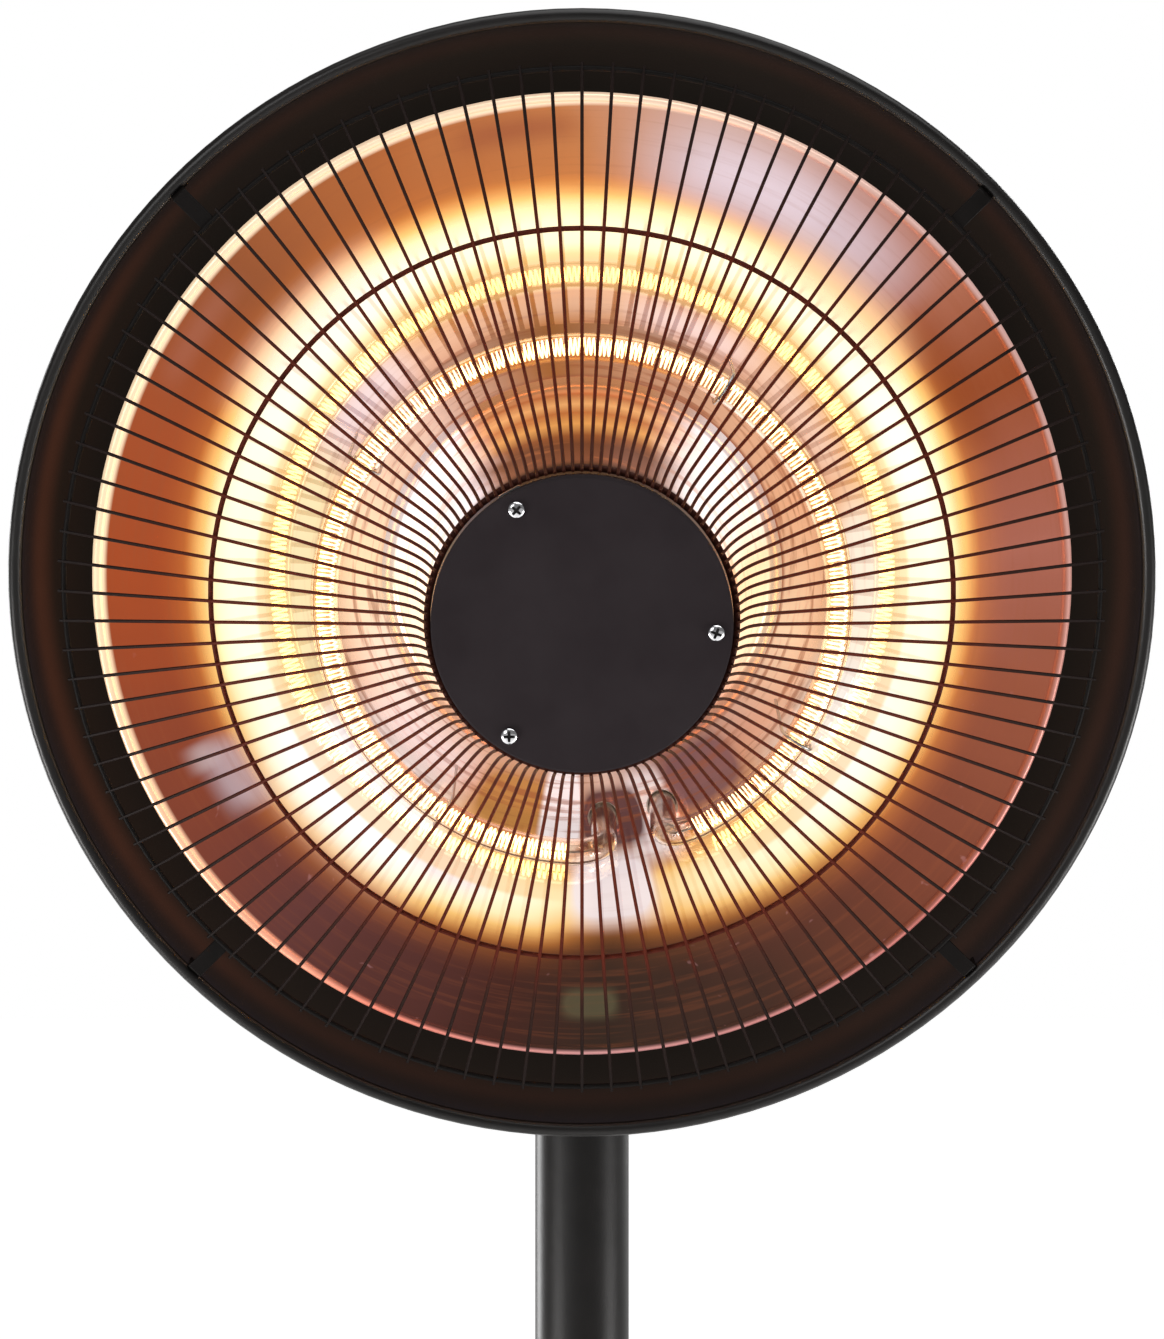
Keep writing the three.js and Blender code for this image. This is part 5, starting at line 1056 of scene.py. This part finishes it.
def buildFork():
    cheekMiddle = fork["inside"] + fork["thickness"] / 2
    radius, low, high, half = fork["deck"], fork["deckLow"], fork["deckTop"], fork["halfWidth"]
    deck = turnedShape("tiltFork", [(0, low), (radius - 0.6, low), (radius, low + 0.6)]
                       + arc((radius - 1.5, high - 1.5), 1.5, 0, 90, 4) + [(0, high)], 64, False)
    outline = [(high - 2, half), (high - 2, -half)] + arc((0, 0), half, -90, 90, 28)
    for n, side in enumerate((-1, 1)):
        cheek = slabShape("cheek%d" % n, outline, fork["thickness"])
        shift(cheek, 0, 0, -fork["thickness"] / 2)
        moveMesh(cheek, turnBy("Y", -90))
        hole = moveMesh(rodShape("cheekHole%d" % n, fork["bolt"] + 0.3, -40, 40, 32), alongX)
        shift(cheek, side * cheekMiddle, 0, 0)
        cutWith(cheek, hole)
        reach = rodShape("cheekTrim%d" % n, radius - 0.02, -45, 45, 96)
        softEdges(cheek, 1.0, 3, 50)
        cutWith(cheek, reach, operation="INTERSECT")
        cutWith(deck, cheek, operation="UNION")
    pick(deck)
    bpy.ops.object.shade_smooth_by_angle(angle=math.radians(35))
    bore, radius, high, low = fork["plugBore"], fork["plug"], low + 1, fork["plugLow"]
    plug = turnedShape("forkPlug", [(bore, low), (radius, low), (radius, high), (bore, high)], 48)
    rivetHole = moveMesh(rodShape("plugHole", fork["rivetBore"], -25, 25, 20), alongX)
    cutWith(plug, shift(rivetHole, 0, 0, fork["rivetHeight"]))
    joinPieces(deck, plug)
    finishPiece(deck, pivotPlace, "mast", "satin_black", blackPaint, "tilt_fork")

    for n, side in enumerate((-1, 1)):
        bore, edge = fork["washerBore"], fork["washer"]
        washer = turnedShape("frictionWasher%d" % (n + 1), [
            (bore, 8.4), (edge - 0.2, 8.4), (edge, 8.6), (edge, 9.4), (edge - 0.2, 9.6), (bore, 9.6)], 48)
        moveMesh(washer, alongX if side > 0 else turnBy("Z", 180) @ alongX)
        finishPiece(washer, pivotPlace, "mast", "black_plastic", blackPlastic, "friction_washer_%d" % (n + 1))

    outside = fork["inside"] + fork["thickness"]
    shank = fork["bolt"]
    bolt = turnedShape("tiltBolt", [(0, -outside - 1), (shank, -outside - 1), (shank, outside + 15),
                                    (shank - 0.6, outside + 16), (0, outside + 16)], 32, False)
    head = slabShape("boltHead", hexagon(fork["boltHead"]), fork["boltHeadHeight"])
    softEdges(shift(head, 0, 0, -outside - fork["boltHeadHeight"] - 0.3), 0.7, 2)
    joinPieces(bolt, head)
    moveMesh(bolt, alongX)
    finishPiece(bolt, pivotPlace, "mast", "zinc_steel", zincPlate, "tilt_bolt")

    knob = knobShape("tiltKnob", fork["knob"], fork["knobHeight"], 4.4, 17)
    moveMesh(knob, alongX @ moveBy(0, 0, outside + 0.4))
    finishPiece(knob, pivotPlace, "tilt_lock", "black_plastic", blackPlastic, "tilt_knob")

    rivetLine = [(0, -21.7), (3.2, -21.6), (4.4, -20.4), (4.7, -19.3), (2.5, -19.3), (2.5, 19.3), (4.7, 19.3),
                 (4.4, 20.4), (3.2, 21.6), (0, 21.7)]
    rivet = moveMesh(turnedShape("forkRivet", rivetLine, 32, False), alongX)
    finishPiece(shift(rivet, 0, 0, fork["rivetHeight"]), pivotPlace, "mast", "zinc_steel", zincPlate, "fork_rivet")


buildFork()
print("fork done")

# the two poles, the clamp between them and its knob

poles = {"upper": 19, "lower": 22.5, "wall": 1.5, "upperLow": 1002, "upperHigh": 1877, "lowerHigh": 1150,
         "sleeveBore": 19.4, "sleeve": 20.7, "sleeveLength": 118, "collar": 30, "collarLow": 1118, "collarHigh": 1174,
         "clamp": 1163.5, "boss": 11, "bossReach": 40, "bossBore": 4.4, "knob": 20, "knobHeight": 22, "stud": 4}


def pipe(name, radius, low, high):
    wall = poles["wall"]
    return turnedShape(name, [(radius - wall, low), (radius - 0.4, low), (radius, low + 0.4), (radius, high - 0.4),
                              (radius - 0.4, high), (radius - wall, high)], 96)


def buildPoles():
    upper = pipe("upperPole", poles["upper"], poles["upperLow"], poles["upperHigh"])
    hole = moveMesh(rodShape("rivetTool", fork["rivetBore"], -30, 30, 20), alongX)
    cutWith(upper, shift(hole, 0, 0, tower["pivotHeight"] / mm + fork["rivetHeight"]))
    finishPiece(upper, standing, "mast", "satin_black", blackPaint, "upper_pole")
    radius, top = poles["lower"], poles["lowerHigh"]
    lower = pipe("lowerPole", radius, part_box("lower_pole")[0].z / mm, top)
    finishPiece(lower, standing, "base", "satin_black", blackPaint, "lower_pole")
    bore, outside, low = poles["sleeveBore"], poles["sleeve"], top - poles["sleeveLength"]
    sleeve = turnedShape("guideSleeve", [(bore, low), (outside, low), (outside, top + 0.3), (radius, top + 0.3),
                                         (radius, top + 3), (bore, top + 3)], 64)
    finishPiece(sleeve, standing, "base", "black_plastic", blackPlastic, "guide_sleeve")


def buildCollar():
    low, high, radius = poles["collarLow"], poles["collarHigh"], poles["collar"]
    inside = poles["upper"] + 0.4
    over = poles["lowerHigh"] + 3.3
    profile = [(inside, over), (poles["lower"] + 0.3, over), (poles["lower"] + 0.3, low)]
    profile += [(radius - 4, low)] + arc((radius - 3, low + 3), 3, -70, 0, 5)
    profile += [(radius, low + 15), (radius - 0.8, low + 15.8), (radius - 0.8, low + 17.2), (radius, low + 18)]
    profile += arc((radius - 5, high - 5), 5, 0, 80, 7) + [(inside, high)]
    collar = turnedShape("heightCollar", profile, 96)
    edge, reach = poles["boss"], poles["bossReach"]
    boss = turnedShape("collarBoss", [(0, radius - 6), (edge, radius - 6), (edge, reach - 1.2), (edge - 1.2, reach),
                                      (0, reach)], 48, False)
    moveMesh(boss, alongX)
    cutWith(collar, shift(boss, 0, 0, poles["clamp"]), operation="UNION")
    bore = moveMesh(rodShape("bossBore", poles["bossBore"], 5, 50, 28), alongX)
    cutWith(collar, shift(bore, 0, 0, poles["clamp"]))
    softEdges(collar, 0.5, 2, 50)
    finishPiece(collar, standing, "base", "black_plastic", blackPlastic, "height_collar")
    knob = knobShape("heightKnob", poles["knob"], poles["knobHeight"], 4.0, 4)
    shift(knob, 0, 0, reach + 0.4)
    tip, thick = inside, poles["stud"]
    stud = turnedShape("clampStud", [(0, tip), (thick - 0.8, tip), (thick, tip + 1), (thick, reach + 10),
                                     (0, reach + 10)], 32, False)
    joinPieces(knob, stud)
    moveMesh(knob, alongX)
    finishPiece(shift(knob, 0, 0, poles["clamp"]), standing, "height_lock", "black_plastic", blackPlastic,
                "height_knob")


buildPoles()
buildCollar()
print("poles done")

# base: domed cover, rosette round the socket and four feet

base = {"radius": 250, "rimLift": 3, "wall": 1.5, "shoulder": 12, "crown": 50, "hole": 31, "socket": 29.3,
        "rosette": 50, "foot": 15, "footHeight": 4.5, "footCircle": 222}


def crownHeight(radius, low, high, inner, outer):
    share = min(max((radius - inner) / (outer - inner), 0), 1)
    return low + (high - low) * math.sqrt(1 - share ** 2.4)


def buildBase():
    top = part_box("base_cover")[1].z / mm
    radius, wall = base["radius"], base["wall"]

    def line(low, high, outer):
        points = []
        for i in range(25):
            reach = base["crown"] + (outer - base["crown"]) * math.sin(math.pi / 2 * (1 - i / 24))
            points.append((reach, crownHeight(reach, low, high, base["crown"], outer)))
        return points

    outside = line(base["shoulder"], top, radius)
    inside = line(base["shoulder"] - wall, top - wall, radius - wall)[::-1]
    cover = turnedShape("baseCover", [(radius - wall, base["rimLift"]), (radius - 0.4, base["rimLift"]),
                                      (radius, base["rimLift"] + 0.4)] + outside
                        + [(base["hole"], top), (base["hole"], top - wall)] + inside, 160)
    finishPiece(cover, standing, "base", "satin_black", basePaint, "base_cover")
    seat = top + 0.3
    bore, edge = base["socket"], base["rosette"]
    ring = turnedShape("baseRosette", [(bore, seat), (edge, seat), (edge, seat + 1)]
                       + arc((edge - 2.4, seat + 1.4), 2.4, 0, 60, 4)
                       + [(45, seat + 4.6), (40, seat + 6.4), (36, seat + 8.2), (34, seat + 9.2),
                          (bore, seat + 9.7)], 96)
    finishPiece(ring, standing, "base", "black_plastic", blackPlastic, "base_rosette")
    foot, high = base["foot"], base["footHeight"]
    model = turnedShape("rubberFoot1", [(0, 0.6), (5, 0.6), (6, 0), (foot - 1.6, 0)]
                        + arc((foot - 1.2, 1.2), 1.2, -60, 0, 4) + [(foot, high), (0, high)], 48, False)
    feet = [model] + [copyOf(model, "rubberFoot%d" % n) for n in (2, 3, 4)]
    for n, each in enumerate(feet):
        place = turnBy("Z", 45 + 90 * n) @ moveBy(base["footCircle"], 0, 0)
        finishPiece(each, place, "base", "rubber", footRubber, "rubber_foot_%d" % (n + 1))


buildBase()
print("base done")

# finishes of the solids that are kept as they are

keptFinishes = {
    "heat_shield": zincPlate, "holder_bracket": zincPlate, "lamp_holder_left": whiteCeramic,
    "lamp_holder_right": whiteCeramic, "terminal_block": whiteCeramic, "tip_over_switch": blackPlastic,
    "rotary_switch": blackPlastic, "lamp_lead_left": sleeveSilicone, "lamp_lead_right": sleeveSilicone,
    "mast_bush": blackPlastic, "pole_socket": blackPaint, "socket_set_screw": zincPlate, "socket_bolt_1": zincPlate,
    "socket_bolt_2": zincPlate, "socket_bolt_3": zincPlate, "base_plate": zincPlate, "base_weight": castConcrete,
}
for nodeName, look in keptFinishes.items():
    cadNodes[nodeName].data.materials.clear()
    cadNodes[nodeName].data.materials.append(look)

# floor, light and camera

studio = {"floorSize": 40, "world": 0.2, "seen": 1.0, "lens": 110.2, "camera": (0, -1.665, 1.8503)}


def buildStudio():
    clearSelection()
    bpy.ops.mesh.primitive_plane_add(size=studio["floorSize"])
    floor = bpy.context.active_object
    floor.name = "floor"
    floorLook = grainyLook("paleFloor", tone(236, 236, 234), tone(242, 242, 240), 0.8, 3, specular=0.1, bump=0.02)
    floorShader = floorLook.node_tree.nodes["Principled BSDF"]
    floorShader.inputs["Emission Color"].default_value = (1, 1, 1, 1)
    floorTree = floorLook.node_tree
    away = vectorNode(floorTree, "LENGTH", objectPlace(floorTree))
    evened = smoothRange(floorTree, away, 0.8, 3.4, 0.36, 0.86)  # makes up for the lights' fall with distance
    direct = addNode(floorTree, "ShaderNodeLightPath").outputs["Is Camera Ray"]
    shown = addNode(floorTree, "ShaderNodeMapRange", {0: direct, 3: 0.3, 4: evened})
    floorTree.links.new(shown.outputs[0], floorShader.inputs["Emission Strength"])
    floor.data.materials.append(floorLook)
    world = bpy.data.worlds.new("studioWorld")
    bpy.context.scene.world = world
    world.use_nodes = True
    tree = world.node_tree
    seen = addNode(tree, "ShaderNodeLightPath").outputs["Is Camera Ray"]
    strength = addNode(tree, "ShaderNodeMapRange", {0: seen, 3: studio["world"], 4: studio["seen"]})
    background = tree.nodes["Background"]
    background.inputs["Color"].default_value = (1, 1, 1, 1)
    tree.links.new(strength.outputs[0], background.inputs["Strength"])
    lights = [
        ("softboxLeft", (-2.2, -1.15, 0.3), (0, 0, 0.9), (1.1, 1.2), 62, (1, 0.98, 0.97)),
        ("softboxRight", (2.45, -0.6, 0.3), (0, 0, 0.9), (1.3, 1.2), 66, (1, 0.98, 0.97)),
        ("softboxTop", (0.4, -0.6, 3.6), (0, 0, 1.0), (2.2, 2.2), 34, (1, 1, 1)),
        ("softboxFront", (-1.6, -2.6, 2.6), (0, 0, 1.6), (1.4, 1.4), 22, (1, 1, 1)),
        ("softboxBackRight", (2.2, 2.8, 2.6), (0, 0, 1.4), (1.6, 2.2), 90, (1, 1, 1)),
        ("softboxBackLeft", (-2.6, 2.2, 1.6), (0, 0, 1.2), (1.2, 2.4), 60, (1, 1, 1)),
    ]
    for name, place, aim, size, power, colour in lights:
        clearSelection()
        bpy.ops.object.light_add(type="AREA", location=place)
        light = bpy.context.active_object
        light.name = name
        light.data.shape = "RECTANGLE"
        light.data.size, light.data.size_y = size
        light.data.energy = power
        light.data.color = colour
        light.rotation_euler = (Vector(aim) - Vector(place)).to_track_quat("-Z", "Y").to_euler()
    clearSelection()
    bpy.ops.object.camera_add(location=studio["camera"], rotation=(math.radians(90), 0, 0))
    camera = bpy.context.active_object
    camera.name = "camera"
    camera.data.lens = studio["lens"]
    camera.data.sensor_width = 36
    camera.data.clip_end = 50
    bpy.context.scene.camera = camera
    bpy.context.scene.view_settings.view_transform = "Standard"


buildStudio()
print("studio done")
